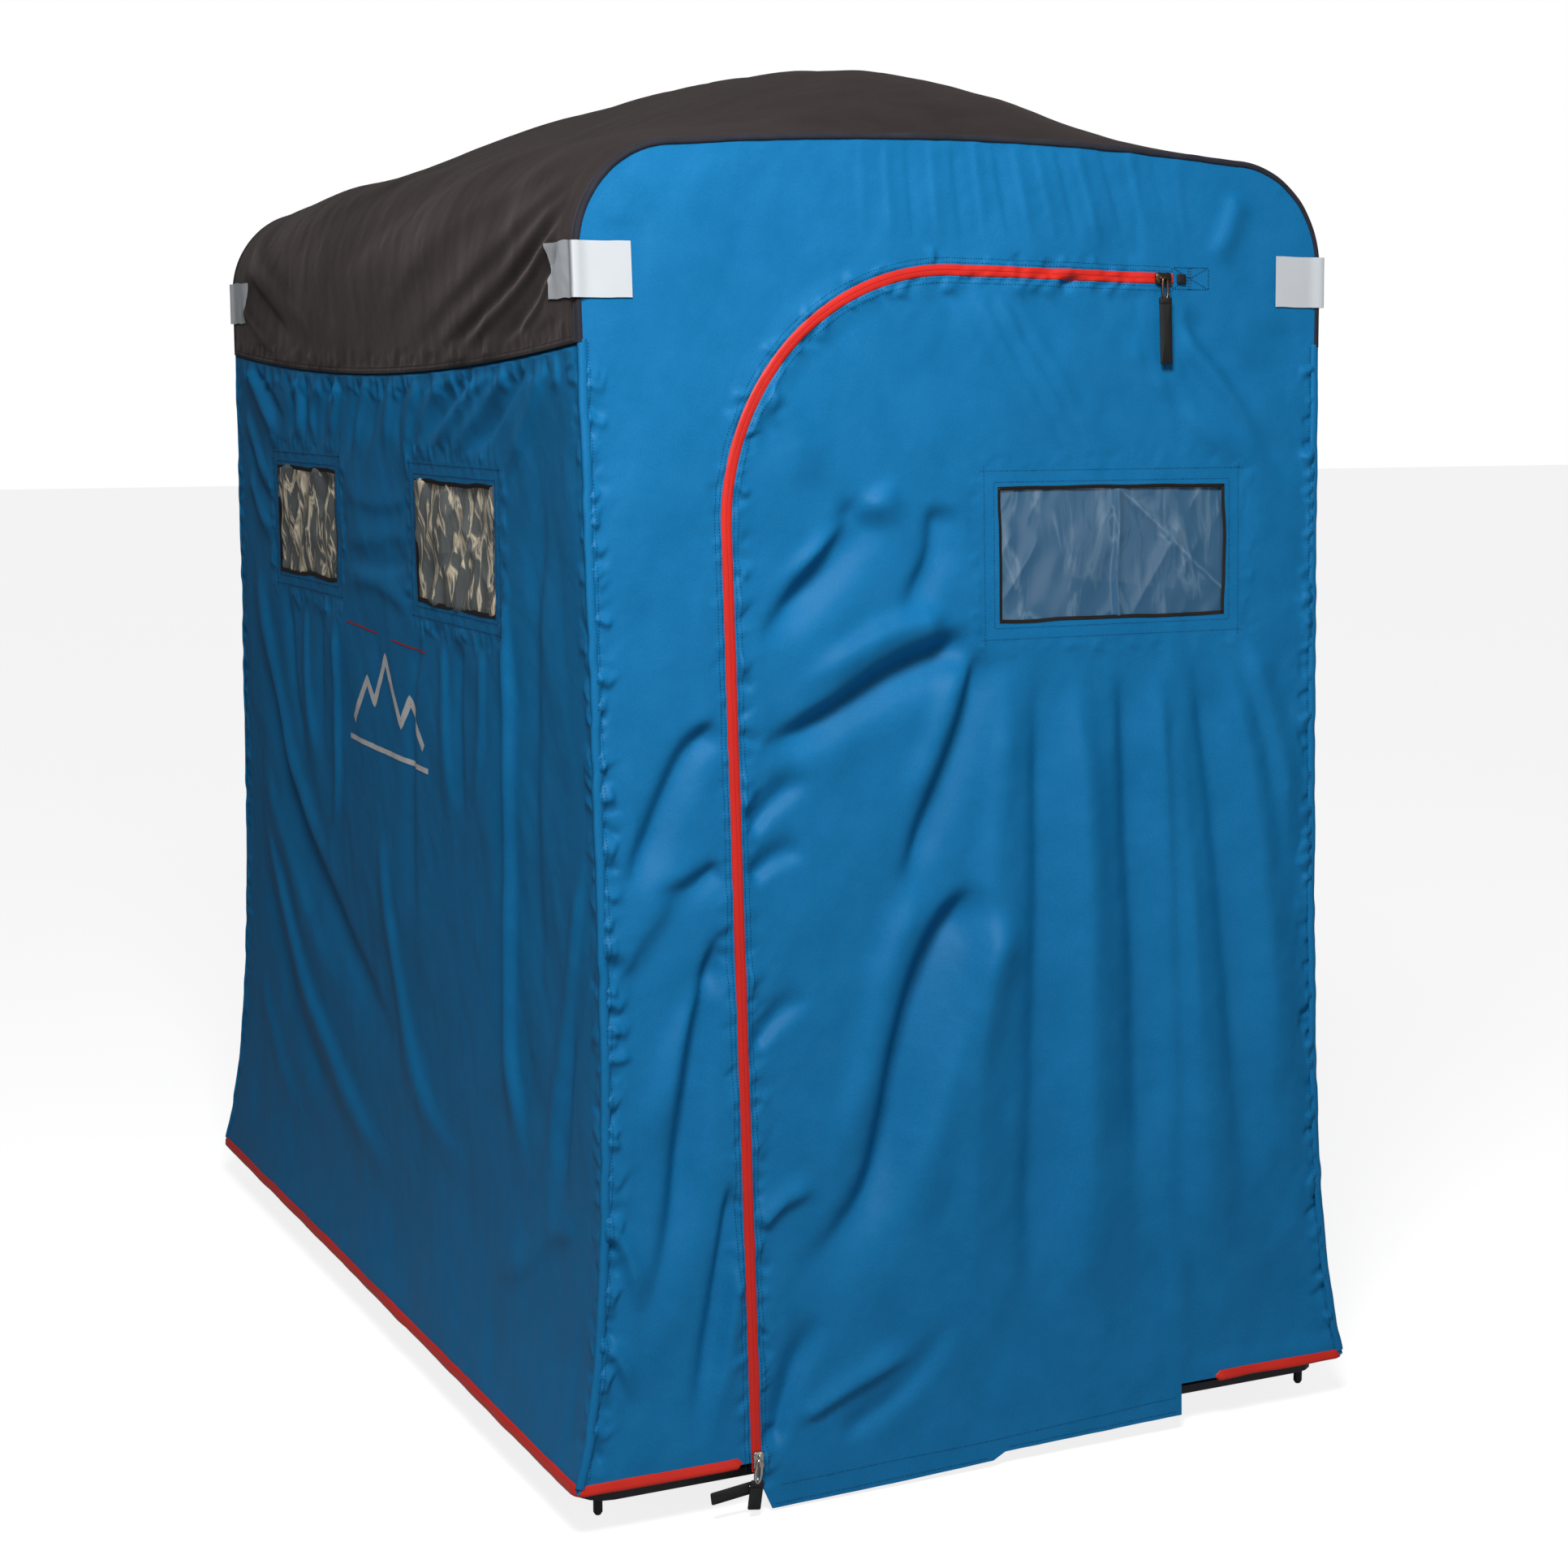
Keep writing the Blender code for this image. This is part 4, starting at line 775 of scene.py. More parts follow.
def plain_material(name, color, roughness, metallic=0.0, vary=0.15):
    """Moulded plastic, painted or bare metal, rubber: noise in the colour, roughness and surface."""
    material, tree, shader = new_material(name)
    place = add_node(tree, "ShaderNodeTexCoord")
    mottle = add_node(tree, "ShaderNodeTexNoise", {"Vector": (place, "Object")}, Scale=9.0, Detail=5.0)
    dark = tuple(c * (1 - vary) for c in color)
    light = tuple(min(1.0, c * (1 + vary)) for c in color)
    shade = ramp_node(tree, mottle, "Fac", ((0.3, dark), (0.7, light)))
    tree.links.new(shade.outputs["Color"], shader.inputs["Base Color"])
    grain = add_node(tree, "ShaderNodeTexNoise", {"Vector": (place, "Object")}, Scale=600.0, Detail=3.0)
    surface = add_node(tree, "ShaderNodeBump", {"Height": (grain, "Fac")}, Strength=0.4, Distance=0.0004)
    tree.links.new(surface.outputs["Normal"], shader.inputs["Normal"])
    rough = add_node(tree, "ShaderNodeMapRange", {"Value": (mottle, "Fac")})
    rough.inputs["To Min"].default_value = max(0.05, roughness - 0.10)
    rough.inputs["To Max"].default_value = min(1.0, roughness + 0.12)
    tree.links.new(rough.outputs["Result"], shader.inputs["Roughness"])
    shader.inputs["Metallic"].default_value = metallic
    shader.inputs["Specular IOR Level"].default_value = 0.30
    return material


BLUE = cloth_material("canopy_blue", (0.005, 0.150, 0.355), (0.007, 0.164, 0.388), (0.010, 0.180, 0.420),
                      0.46, 0.04)
BLACK_CLOTH = cloth_material("roof_charcoal", (0.022, 0.0175, 0.0165), (0.0265, 0.022, 0.021),
                             (0.033, 0.0275, 0.0265), 0.50, 0.10)
BINDING = cloth_material("binding", (0.018, 0.018, 0.026), (0.026, 0.026, 0.036), (0.036, 0.036, 0.048),
                         0.75, 0.10)
THREAD = plain_material("thread_blue", (0.002, 0.036, 0.110), 0.8)
THREAD_DARK = plain_material("thread_dark", (0.012, 0.012, 0.014), 0.7)
ZIP_RED = plain_material("zip_red", (0.640, 0.020, 0.012), 0.50, vary=0.06)
TRIM_RED = plain_material("trim_red", (0.700, 0.024, 0.012), 0.34, vary=0.08)
BLACK_EDGE = plain_material("window_edge", (0.012, 0.010, 0.009), 0.55)
PATCH = plain_material("reflective", (0.57, 0.60, 0.63), 0.45, vary=0.03)
MARK_WHITE = plain_material("print_white", (0.66, 0.66, 0.67), 0.5, vary=0.04)
MARK_RED = plain_material("print_red", (0.52, 0.020, 0.015), 0.5, vary=0.06)
WEBBING = plain_material("webbing", (0.014, 0.014, 0.015), 0.6)
BASE_PLASTIC = plain_material("base_plastic", (0.032, 0.030, 0.034), 0.45)
DARK_FITTING = plain_material("dark_fitting", (0.015, 0.015, 0.016), 0.45)
STEEL = plain_material("steel_tube", (0.55, 0.56, 0.58), 0.34, metallic=1.0, vary=0.08)
POLE = plain_material("ridge_pole", (0.05, 0.05, 0.052), 0.35)
BRONZE = plain_material("slider_bronze", (0.16, 0.10, 0.06), 0.35, metallic=1.0)
ZINC = plain_material("slider_zinc", (0.66, 0.62, 0.55), 0.28, metallic=1.0)


def vinyl_material(name, color, alpha, crease_milk_and_highlight, stops, scale, bump):
    """Clear flexible vinyl: see-through and glossy, more opaque along its creases, whose lighter colour is
    partly cloudy creasing and partly painted highlights.
    """
    material, tree, shader = new_material(name)
    place = add_node(tree, "ShaderNodeUVMap")
    place.uv_map = "cloth"
    turn = add_node(tree, "ShaderNodeMapping", {"Vector": (place, "UV")})
    turn.inputs["Rotation"].default_value = (0, 0, math.radians(40))
    turn.inputs["Scale"].default_value = (1.0, 0.34, 1.0)
    crease = add_node(tree, "ShaderNodeTexNoise", {"Vector": (turn, "Vector")}, Scale=scale, Detail=3.0,
                      Distortion=1.1)
    low, middle, high = stops
    # the creases' lighter colour: cloudy vinyl plus painted highlights standing in for the light the creases
    # catch
    crease_milk_and_highlight_ramp = ramp_node(tree, crease, "Fac", ((low, color), (middle, crease_milk_and_highlight), (high, color)))
    tree.links.new(crease_milk_and_highlight_ramp.outputs["Color"], shader.inputs["Base Color"])
    clear, solid = (alpha,) * 3, (min(1.0, alpha + 0.2),) * 3
    opacity = ramp_node(tree, crease, "Fac", ((low, clear), (middle, solid), (high, clear)))
    tree.links.new(opacity.outputs["Color"], shader.inputs["Alpha"])
    surface = add_node(tree, "ShaderNodeBump", {"Height": (crease, "Fac")}, Strength=bump, Distance=0.004)
    tree.links.new(surface.outputs["Normal"], shader.inputs["Normal"])
    shader.inputs["Roughness"].default_value = 0.16
    return material


VINYL = vinyl_material("clear_vinyl", (0.050, 0.150, 0.275), 0.80, (0.10, 0.19, 0.29),
                       stops=(0.52, 0.60, 0.66), scale=22.0, bump=0.16)
# the side panes' bright beige crease colour is mostly painted highlights, standing in for reflections off the
# crinkles
CREASED_VINYL_PAINTED_HIGHLIGHTS = vinyl_material("creased_vinyl_painted_highlights", (0.150, 0.165, 0.165), 0.90, (0.98, 0.84, 0.62),
                           stops=(0.50, 0.57, 0.64), scale=40.0, bump=0.60)


# ---------------------------------------------------------------- riding
SEAM_SPAN = 0.5 * (SEAM_CORNER + SEAM_MIDDLE) - TRIM_TOP


def sink(obj):
    """Give the piece its own copy of its mesh."""
    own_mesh(obj)
    return obj


def settle(obj, body, span=None, stands_for=()):
    """Ride a piece on a body. With a span it gets its own copy of its mesh; it may stand for CAD nodes, which
    it hides.
    """
    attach(obj, body)
    if span is not None:
        sink(obj)
    if stands_for:
        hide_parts(*stands_for)
    return obj


ARCH_SPAN = ARCH_SPLIT - TRIM_TOP
PANEL_STEP, DETAIL_STEP = ((0.0060, 0.0030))

# ---------------------------------------------------------------- front wall and door
FRONT = Surface(place_front, field_front)
FLAP_EDGE = FOLD_X + 0.003
FLAP = np.array([(ZIP_FOOT_X - 0.004, CLOTH_FOOT), (ZIP_FOOT_X + 0.002, -0.016), (-0.272, -0.052),
                 (-0.120, -0.050), (0.010, -0.046), (0.026, -0.038), (FLAP_EDGE, -0.034),
                 (FLAP_EDGE, CLOTH_FOOT)])
SPLIT_LINE = np.array([(-0.6, ARCH_SPLIT), (0.6, ARCH_SPLIT)])


def make_front():
    """The front wall and the door, meshed as one cloth and parted at the zip, the fold line and the arch."""
    opening = waved_rectangle(OPENING, 3)
    outline = np.vstack([ARCH, FLAP])
    door_loop = np.vstack([ZIP_LINE, [(FOLD_X, ZIP_END[1]), (FOLD_X, -0.2), (ZIP_FOOT_X, -0.2)]])
    fold = np.array([(FOLD_X, ZIP_END[1]), (FOLD_X, -0.033)])
    frame_loop = np.vstack([opening, opening[:1]])
    dense = [ZIP_LINE, frame_loop, ARCH, np.array([(-0.12, 1.39), (0.28, 1.39)])]
    lines = [(np.vstack([ZIP_LINE, [(FOLD_X, ZIP_END[1])]]), DETAIL_STEP), (fold, None), (SPLIT_LINE, None)]
    uv, faces = triangulate(outline, [opening], lines, PANEL_STEP, DETAIL_STEP, dense, 0.045)
    points = FRONT.at(uv[:, 0], uv[:, 1])
    normals = vertex_normals(points, faces)
    centre = uv[faces].mean(1)
    is_door = inside(centre[:, 0], centre[:, 1], door_loop)
    is_top = centre[:, 1] > ARCH_SPLIT
    door = mesh_piece("door_cloth", points, faces[is_door], BLUE, uv, normals)
    lower = mesh_piece("front_cloth", points, faces[~is_door & ~is_top], BLUE, uv, normals)
    upper = mesh_piece("front_arch_cloth", points, faces[is_top], BLUE, uv, normals)
    settle(door, "door", ARCH_SPAN, ["door_panel"])
    settle(lower, "base", ARCH_SPAN, ["front_wall"])
    settle(upper, "frame")


make_front()


# ---------------------------------------------------------------- rear wall
REAR = Surface(place_rear, field_rear)


def make_rear():
    """The rear wall, parted where its upper strip goes down with the hoop."""
    opening = waved_rectangle(REAR_OPENING, 4)
    dense = [np.vstack([opening, opening[:1]]), ARCH]
    fine = DETAIL_STEP * 1.3
    uv, faces = triangulate(ARCH, [opening], [(SPLIT_LINE, None)], PANEL_STEP, fine, dense, 0.035)
    points = REAR.at(uv[:, 0], uv[:, 1])
    normals = vertex_normals(points, faces)
    is_top = uv[faces].mean(1)[:, 1] > ARCH_SPLIT
    lower = mesh_piece("rear_cloth", points, faces[~is_top], BLUE, uv, normals)
    upper = mesh_piece("rear_arch_cloth", points, faces[is_top], BLUE, uv, normals)
    settle(lower, "base", ARCH_SPAN, ["rear_wall"])
    settle(upper, "frame")


make_rear()


# ---------------------------------------------------------------- side walls
def make_side(hand, place, field, sign):
    """A side wall below the roof's seam, with its two window openings."""
    surface = Surface(place, field)
    ys = np.linspace(1, -1, 90)
    top = np.c_[ys * half_length(1.22), seam_height(ys * half_length(1.22)) + 0.010]
    heights = np.linspace(CLOTH_FOOT, 1.20, 60)
    right = np.c_[half_length(heights), heights]
    outline = np.vstack([right, top, (right * (-1, 1))[::-1]])
    openings = [waved_rectangle(bounds, 5 + k, 0.003) for k, bounds in enumerate(SIDE_OPENINGS)]
    if sign < 0:
        openings = [(opening * (-1, 1))[::-1] for opening in openings]
    seam = np.c_[ys * 0.7, seam_height(ys * 0.7)]
    dense = [np.vstack([o, o[:1]]) for o in openings] + [seam, right, right * (-1, 1)]
    uv, faces = triangulate(outline, openings, [], PANEL_STEP, DETAIL_STEP, dense, 0.040)
    points = surface.at(uv[:, 0], uv[:, 1])
    piece = mesh_piece(f"{hand}_cloth", points, faces, BLUE, uv, vertex_normals(points, faces))
    settle(piece, "base", SEAM_SPAN, [f"{hand}_wall"])
    return surface


right_field = make_side_field(300, True)
left_field_y = make_side_field(100, False)


def left_field(u, height):
    """The left wall's u runs against y, so that its normal points out."""
    return left_field_y(-u, height)


LEFT = make_side("left", place_left, left_field, -1)
RIGHT = make_side("right", place_right, right_field, 1)


# ---------------------------------------------------------------- roof
def roof_folds(side):
    """Folds of the roof's side slopes, in (y, unrolled height)."""
    folds = in_metres([
        ((-665, 1375), (-560, 1325), (-400, 1265), (-180, 1215), 6, 10, 1.7),
        ((-650, 1400), (-520, 1350), (-330, 1290), (-80, 1225), 4.6, 12, 1.8),
        ((-660, 1345), (-570, 1300), (-450, 1255), (-330, 1220), 5.2, 8, 1.5),
        ((-665, 1330), (-600, 1280), (-520, 1245), (-450, 1225), -4.6, 7, 1.4),
        ((-660, 1360), (-560, 1312), (-420, 1258), (-260, 1218), -4.6, 8, 1.5),
        ((-640, 1300), (-580, 1262), (-520, 1235), 4, 7, 1.3),
        ((-600, 1430), (-420, 1390), (-180, 1330), (60, 1240), 4, 20, 1.8),
        ((640, 1380), (480, 1330), (300, 1270), (100, 1225), 6, 20, 1.4),
        ((650, 1340), (520, 1290), (380, 1240), -5.2, 14, 1.4),
        ((655, 1300), (560, 1260), (450, 1228), 4.4, 11, 1.3),
        ((-350, 1500), (-180, 1440), (40, 1370), (250, 1320), -4, 28, 1.4),
        ((100, 1480), (250, 1430), (450, 1400), 4, 28, 1.4),
    ])
    if side > 0:
        folds = varied(folds, 71, 0.015, 0.006)
    ys = np.linspace(-0.70, 0.70, 60)
    seam = np.c_[ys, seam_height(ys) + 0.002]
    folds += puckers(seam, 80 + side, 0.018, 0.022, 0.0016, 0, 1, 0.006)
    return folds


CROWN_HALF = travelled(crown_line())[-1]
ROOF_FOLDS = {side: Folds(roof_folds(side)) for side in (-1, 1)}


def roof_field(y, unrolled, side, end):
    """How far the roof cloth stands out; unrolled is a point's height once the roof is rolled out flat."""
    across = side * (CORNER_HEIGHT + CROWN_HALF - unrolled)
    broad, fine = weathering(y, across, 91)
    folds = ROOF_FOLDS[side](y, unrolled) * ramp(end / 0.010)
    crown = ramp((unrolled - CORNER_HEIGHT - 0.131) / 0.10)
    out = folds * (1 - 0.5 * crown) + broad * ramp(end / 0.07) + fine
    out *= ramp((unrolled - seam_height(y)) / 0.012 + 0.2)
    hoops = ramp((end - 0.012) / 0.04)
    return 0.0022 + np.where(out < 0, out * (0.4 + 0.6 * hoops), out)


def roof_grid(across, along):
    """The roof as rows along y and columns across: x, height, y as a share, unrolled height, side."""
    share = np.linspace(-1, 1, along)
    share = 0.35 * np.sin(0.5 * math.pi * share) + 0.65 * share
    column = np.linspace(0, 1, across)
    column = 0.25 + 0.5 * column - 0.25 * np.cos(math.pi * column)
    half = crown_line(60)
    rows = []
    for part in share:
        seam = seam_height(part * TOP_HALF_LENGTH)
        lower = np.linspace(seam, CORNER_HEIGHT, 30)[:-1]
        right = np.vstack([np.c_[half_width(lower), lower], half])
        section = np.vstack([right, (right * (-1, 1))[::-1][1:]])
        length = travelled(section)
        at = column * length[-1]
        x = np.interp(at, length, section[:, 0])
        height = np.interp(at, length, section[:, 1])
        unrolled = seam + np.minimum(at, length[-1] - at)
        rows.append(np.stack([x, height, np.full(across, part), unrolled, at], 1))
    return np.array(rows)


def make_roof():
    """The roof cloth: one piece over the hoops and the ridge pole, down to the seam on both sides."""
    across, along = ((240, 260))
    grid = roof_grid(across, along)
    x, height, share, unrolled, at = (grid[..., k].ravel() for k in range(5))
    y = share * half_length(height)
    z = height + ridge_lift(x, share * TOP_HALF_LENGTH, height) + SKIRT_Z
    base = np.stack([x, y, z], 1)
    faces = strip_faces(along, across)
    shape = base.reshape(along, across, 3)
    normal = np.cross(np.gradient(shape, axis=1), np.gradient(shape, axis=0)).reshape(-1, 3)
    normal /= -np.linalg.norm(normal, axis=1)[:, None]
    end = (1 - abs(share)) * TOP_HALF_LENGTH
    lift = np.zeros(len(x))
    for side in (-1, 1):
        mine = (x > 0) if side > 0 else (x <= 0)
        lift[mine] = roof_field(y[mine], unrolled[mine], side, end[mine])
    points = base + normal * lift[:, None]
    piece = mesh_piece("roof_cloth", points, faces[:, ::-1], BLACK_CLOTH, np.c_[at, y])
    settle(piece, "frame", None, ["roof_panel"])


make_roof()


# ---------------------------------------------------------------- ribbons, rolls and stitches on a surface
def ribbon(name, surface, line, offsets, lifts, material, step=0.003):
    """A strip along a line of a surface: offsets across it, to its left, each with its own lift."""
    line = resample(line, step)
    normal = side_normals(line)
    columns = len(offsets)
    spread = line[:, None, :] + normal[:, None, :] * np.asarray(offsets)[None, :, None]
    points = surface.at(spread[..., 0].ravel(), spread[..., 1].ravel(), np.tile(lifts, len(line)))
    uv = np.c_[np.repeat(travelled(line), columns), np.tile(offsets, len(line))]
    return mesh_piece(name, points, strip_faces(len(line), columns), material, uv)


def tube_piece(name, path, radius, material, sides=8):
    """A round roll about a path in space."""
    path = np.asarray(path, float)
    along = np.gradient(path, axis=0)
    along /= np.linalg.norm(along, axis=1)[:, None]
    first = np.cross(along, (0.0, 0.0, 1.0))
    weak = np.linalg.norm(first, axis=1) < 0.2
    first[weak] = np.cross(along[weak], (0.0, 1.0, 0.0))
    first /= np.linalg.norm(first, axis=1)[:, None]
    for k in range(1, len(first)):
        if first[k] @ first[k - 1] < 0:
            first[k] *= -1
    second = np.cross(along, first)
    angle = np.linspace(0, 2 * math.pi, sides + 1)[None, :, None]
    ring = path[:, None] + radius * (first[:, None] * np.cos(angle) + second[:, None] * np.sin(angle))
    return mesh_piece(name, ring.reshape(-1, 3), strip_faces(len(path), sides + 1), material)


STITCH_PITCH = 0.0034
STITCH_LENGTH = 0.0024
STITCH_SAMPLE = 0.0008           # the step of the points from which the stitches' ends are picked


def stitches(surface, lines, seed=0, radius=0.00055, lift=0.0004):
    """Rows of thread stitches along lines of a surface, each a small pointed body: points and faces."""
    rng = np.random.default_rng(seed)
    heads, tails = [], []
    for line in lines:
        line = resample(line, STITCH_SAMPLE)
        count = max(1, int(STITCH_SAMPLE * len(line) / STITCH_PITCH))
        pick = ((np.arange(count) + 0.5) * STITCH_PITCH / STITCH_SAMPLE).astype(int)
        reach = int(STITCH_LENGTH / 2 / STITCH_SAMPLE)
        wander = rng.normal(0, 0.00015, (count, 2))
        heads.append(line[np.clip(pick + reach, 0, len(line) - 1)] + wander)
        tails.append(line[np.clip(pick - reach, 0, len(line) - 1)] - wander)
    head, tail = np.vstack(heads), np.vstack(tails)
    both = np.vstack([head, tail])
    placed = surface.at(both[:, 0], both[:, 1])
    a, b = placed[:len(head)], placed[len(head):]
    centre = (head + tail) / 2
    out = surface.normal(centre[:, 0], centre[:, 1])
    middle = (a + b) / 2 + out * lift
    along = a - b
    along /= np.linalg.norm(along, axis=1)[:, None] + 1e-12
    across = np.cross(along, out)
    corners = np.stack([a, middle + across * radius, middle + out * radius * 1.6, middle - across * radius,
                        b, middle - out * radius], 1)
    faces = np.array([(0, 1, 2), (0, 2, 3), (0, 3, 5), (0, 5, 1), (4, 2, 1), (4, 3, 2), (4, 5, 3), (4, 1, 5)])
    index = (np.arange(len(head))[:, None, None] * 6 + faces[None]).reshape(-1, 3)
    return corners.reshape(-1, 3), index


def offset_line(line, distance):
    """A line moved to its left."""
    line = resample(line, 0.004)
    return line + side_normals(line) * distance


# ---------------------------------------------------------------- zip
def make_zip():
    """The two halves of the zip's tape, one on the wall and one on the door, and their stitch rows."""
    profile = np.array([0.0001, 0.0006, 0.0016, 0.0036, 0.0054, 0.0062])
    lifts = np.array([0.0020, 0.0022, 0.0022, 0.0019, 0.0014, 0.0003])
    wall = ribbon("zip_wall_side", FRONT, ZIP_LINE, profile, lifts, ZIP_RED, 0.004)
    door = ribbon("zip_door_side", FRONT, ZIP_LINE, -profile[::-1], lifts[::-1], ZIP_RED, 0.004)
    settle(wall, "base", ARCH_SPAN, ["zip_tape_wall"])
    settle(door, "door", ARCH_SPAN, ["zip_tape_door"])
    for tag, side, body in (("wall", 1, "base"), ("door", -1, "door")):
        lines = [offset_line(ZIP_LINE, side * distance) for distance in (0.0085, 0.0135)]
        settle(mesh_piece(f"zip_stitching_{tag}", *stitches(FRONT, lines, side + 2), THREAD), body, ARCH_SPAN)


make_zip()


# ---------------------------------------------------------------- windows
def settle_window(name, points, faces, material, split_at, uv=None, stands_for=()):
    """Place a window's piece; one that the door's fold line crosses becomes a door part and a wall part."""
    if split_at is None:
        span = SEAM_SPAN if name.startswith(("left", "right")) else ARCH_SPAN
        return [settle(mesh_piece(name, points, faces, material, uv), "base", span, stands_for)]
    on_door = points[faces].mean(1)[:, 0] < split_at
    normals = vertex_normals(points, faces)
    door = mesh_piece(f"{name}_door", points, faces[on_door], material, uv, normals)
    wall = mesh_piece(f"{name}_wall", points, faces[~on_door], material, uv, normals)
    return [settle(door, "door", ARCH_SPAN, stands_for), settle(wall, "base", ARCH_SPAN, ())]


PANE_MARGIN = 0.008              # how far a pane reaches behind the cloth round its opening
PANE_DEPTH = 0.0026              # how far it lies behind the cloth
SWELL, RIPPLE, CREASE = 0.0020, 0.0010, 0.0014


def make_pane(name, surface, bounds, seed, crinkle, node, split_at, material):
    """A vinyl pane behind a window's opening, with soft creases."""
    left, right, low, high = bounds
    us = np.linspace(left - PANE_MARGIN, right + PANE_MARGIN, 130)
    if split_at is not None:
        us = np.sort(np.append(us, split_at))
    vs = np.linspace(low - PANE_MARGIN, high + PANE_MARGIN, 70)
    u, v = (g.ravel() for g in np.meshgrid(us, vs))
    edge = np.minimum(np.minimum(u - us[0], us[-1] - u), np.minimum(v - vs[0], vs[-1] - v))
    swell = noise(u, v, 0.05, seed, 1.6, 50) * SWELL + noise(u, v, 0.022, seed + 1, 2.0, 60) * RIPPLE
    sharp = (1 - 2 * abs(noise(u, v, 0.030, seed + 2, 2.4, 55))) * CREASE
    lift = (swell + sharp) * crinkle
    if split_at is not None:
        crease = left + 0.52 * (right - left) + 0.004 * noise(v, v * 0, 0.05, seed + 3)
        lift = 0.45 * lift + 0.0022 * np.exp(-((u - crease) / 0.0045) ** 2)
        slant = (u - crease) * 0.80 + (v - high) * 0.95
        lift += 0.0018 * np.exp(-(slant / 0.0040) ** 2) * (u > crease) * ramp((u - crease) / 0.01)
    lift = lift * ramp(edge / 0.012) - PANE_DEPTH
    points = surface.place(u, v) + surface.normal(u, v) * lift[:, None]
    panes = settle_window(name, points, strip_faces(len(vs), len(us)), material, split_at, np.c_[u, v],
                          [node])


def make_edge(name, surface, opening, width, split_at):
    """The dark bound edge round a window's opening."""
    line = resample(np.vstack([opening, opening[:2]]), 0.003)
    offsets = np.array([-0.0004, 0.0010, width])
    spread = line[:, None, :] + side_normals(line)[:, None, :] * offsets[None, :, None]
    lift = np.tile([0.0006, 0.0008, -0.0004], len(line))
    points = surface.at(spread[..., 0].ravel(), spread[..., 1].ravel(), lift)
    settle_window(name, points, strip_faces(len(line), len(offsets)), BLACK_EDGE, split_at)


def sewn_frame(surface, bounds, seed):
    """Stitches of a window's frame: a row by the opening, and one outside whose ends cross at the corners."""
    left, right, low, high = bounds
    rows = []
    for distance, overrun in ((0.0060, 0.0), (FRAME_BAND - 0.0015, 0.006)):
        loop = rectangle(left - distance, right + distance, low - distance, high + distance)
        loop = np.vstack([loop, loop[:1]])
        for k in range(4):
            start, end = loop[k], loop[k + 1]
            along = (end - start) / np.linalg.norm(end - start) * overrun
            rows.append(np.array([start - along, end + along]))
    return stitches(surface, rows, seed)


def make_window(tag, surface, bounds, opening, crinkle, seed, node, width=0.0036, split_at=None):
    """A window's pane, bound edge and stitching."""
    # the side panes take the vinyl whose creases carry painted highlights
    material = CREASED_VINYL_PAINTED_HIGHLIGHTS if crinkle > 2 else VINYL
    make_pane(f"{tag}_pane", surface, bounds, seed, crinkle, node, split_at, material)
    make_edge(f"{tag}_window_edge", surface, opening, width, split_at)
    points, faces = sewn_frame(surface, bounds, seed)
    settle_window(f"{tag}_window_stitching", points, faces, THREAD, split_at)


def flipped(bounds):
    """A window's bounds as seen from the opposite wall."""
    left, right, low, high = bounds
    return -right, -left, low, high


make_window("front", FRONT, OPENING, waved_rectangle(OPENING, 3), 1.0, 51, "front_window", split_at=FOLD_X)
make_window("rear", REAR, REAR_OPENING, waved_rectangle(REAR_OPENING, 4), 1.0, 52, "rear_window")
for k, bounds in enumerate(SIDE_OPENINGS):
    place = ("front", "rear")[k]
    opening = waved_rectangle(bounds, 5 + k, 0.003)
    make_window(f"right_{place}", RIGHT, bounds, opening, 2.4, 55 + k, f"right_{place}_window", 0.0050)
    make_window(f"left_{place}", LEFT, flipped(bounds), (opening * (-1, 1))[::-1], 2.4, 57 + k,
                f"left_{place}_window", 0.0050)


# ---------------------------------------------------------------- edges, trim and patches
def edge_band(name, outline, end, profile, material, wobble, seed):
    """A folded band along an end wall's outline. Profile: (outwards from the outline, out of the wall)."""
    line = resample(outline, 0.0035)
    normal = -side_normals(line)
    count = len(line)
    along = travelled(line)
    shift = noise(along, along * 0, 0.020, seed) * wobble
    base = np.stack([line[:, 0], end * half_length(line[:, 1]), line[:, 1] + SKIRT_Z], 1)
    out = np.stack([normal[:, 0], np.zeros(count), normal[:, 1]], 1)
    rows = []
    for across, proud in profile:
        rows.append(base + out * (across + shift)[:, None] + np.array([0, end, 0]) * proud)
    points = np.stack(rows, 1).reshape(-1, 3)
    uv = np.c_[np.repeat(along, len(profile)), np.tile(travelled(profile), count)]
    return mesh_piece(name, points, strip_faces(count, len(profile)), material, uv)


# Cross-sections: (outwards from the wall's outline, out of the wall).
BINDING_PROFILE = [(-0.0036, 0.0008), (-0.0032, 0.0020), (-0.0014, 0.0026), (0.0006, 0.0026),
                   (0.0022, 0.0014), (0.0034, -0.0010), (0.0034, -0.0050), (0.0024, -0.0066)]
CORNER_PROFILE = [(-0.0074, 0.0006), (-0.0070, 0.0018), (-0.0030, 0.0024), (0.0008, 0.0024),
                  (0.0026, 0.0006), (0.0026, -0.0030), (0.0012, -0.0042)]
SEAM_ROWS = (0.0050, 0.0095)     # the stitch rows' distances from an upright corner


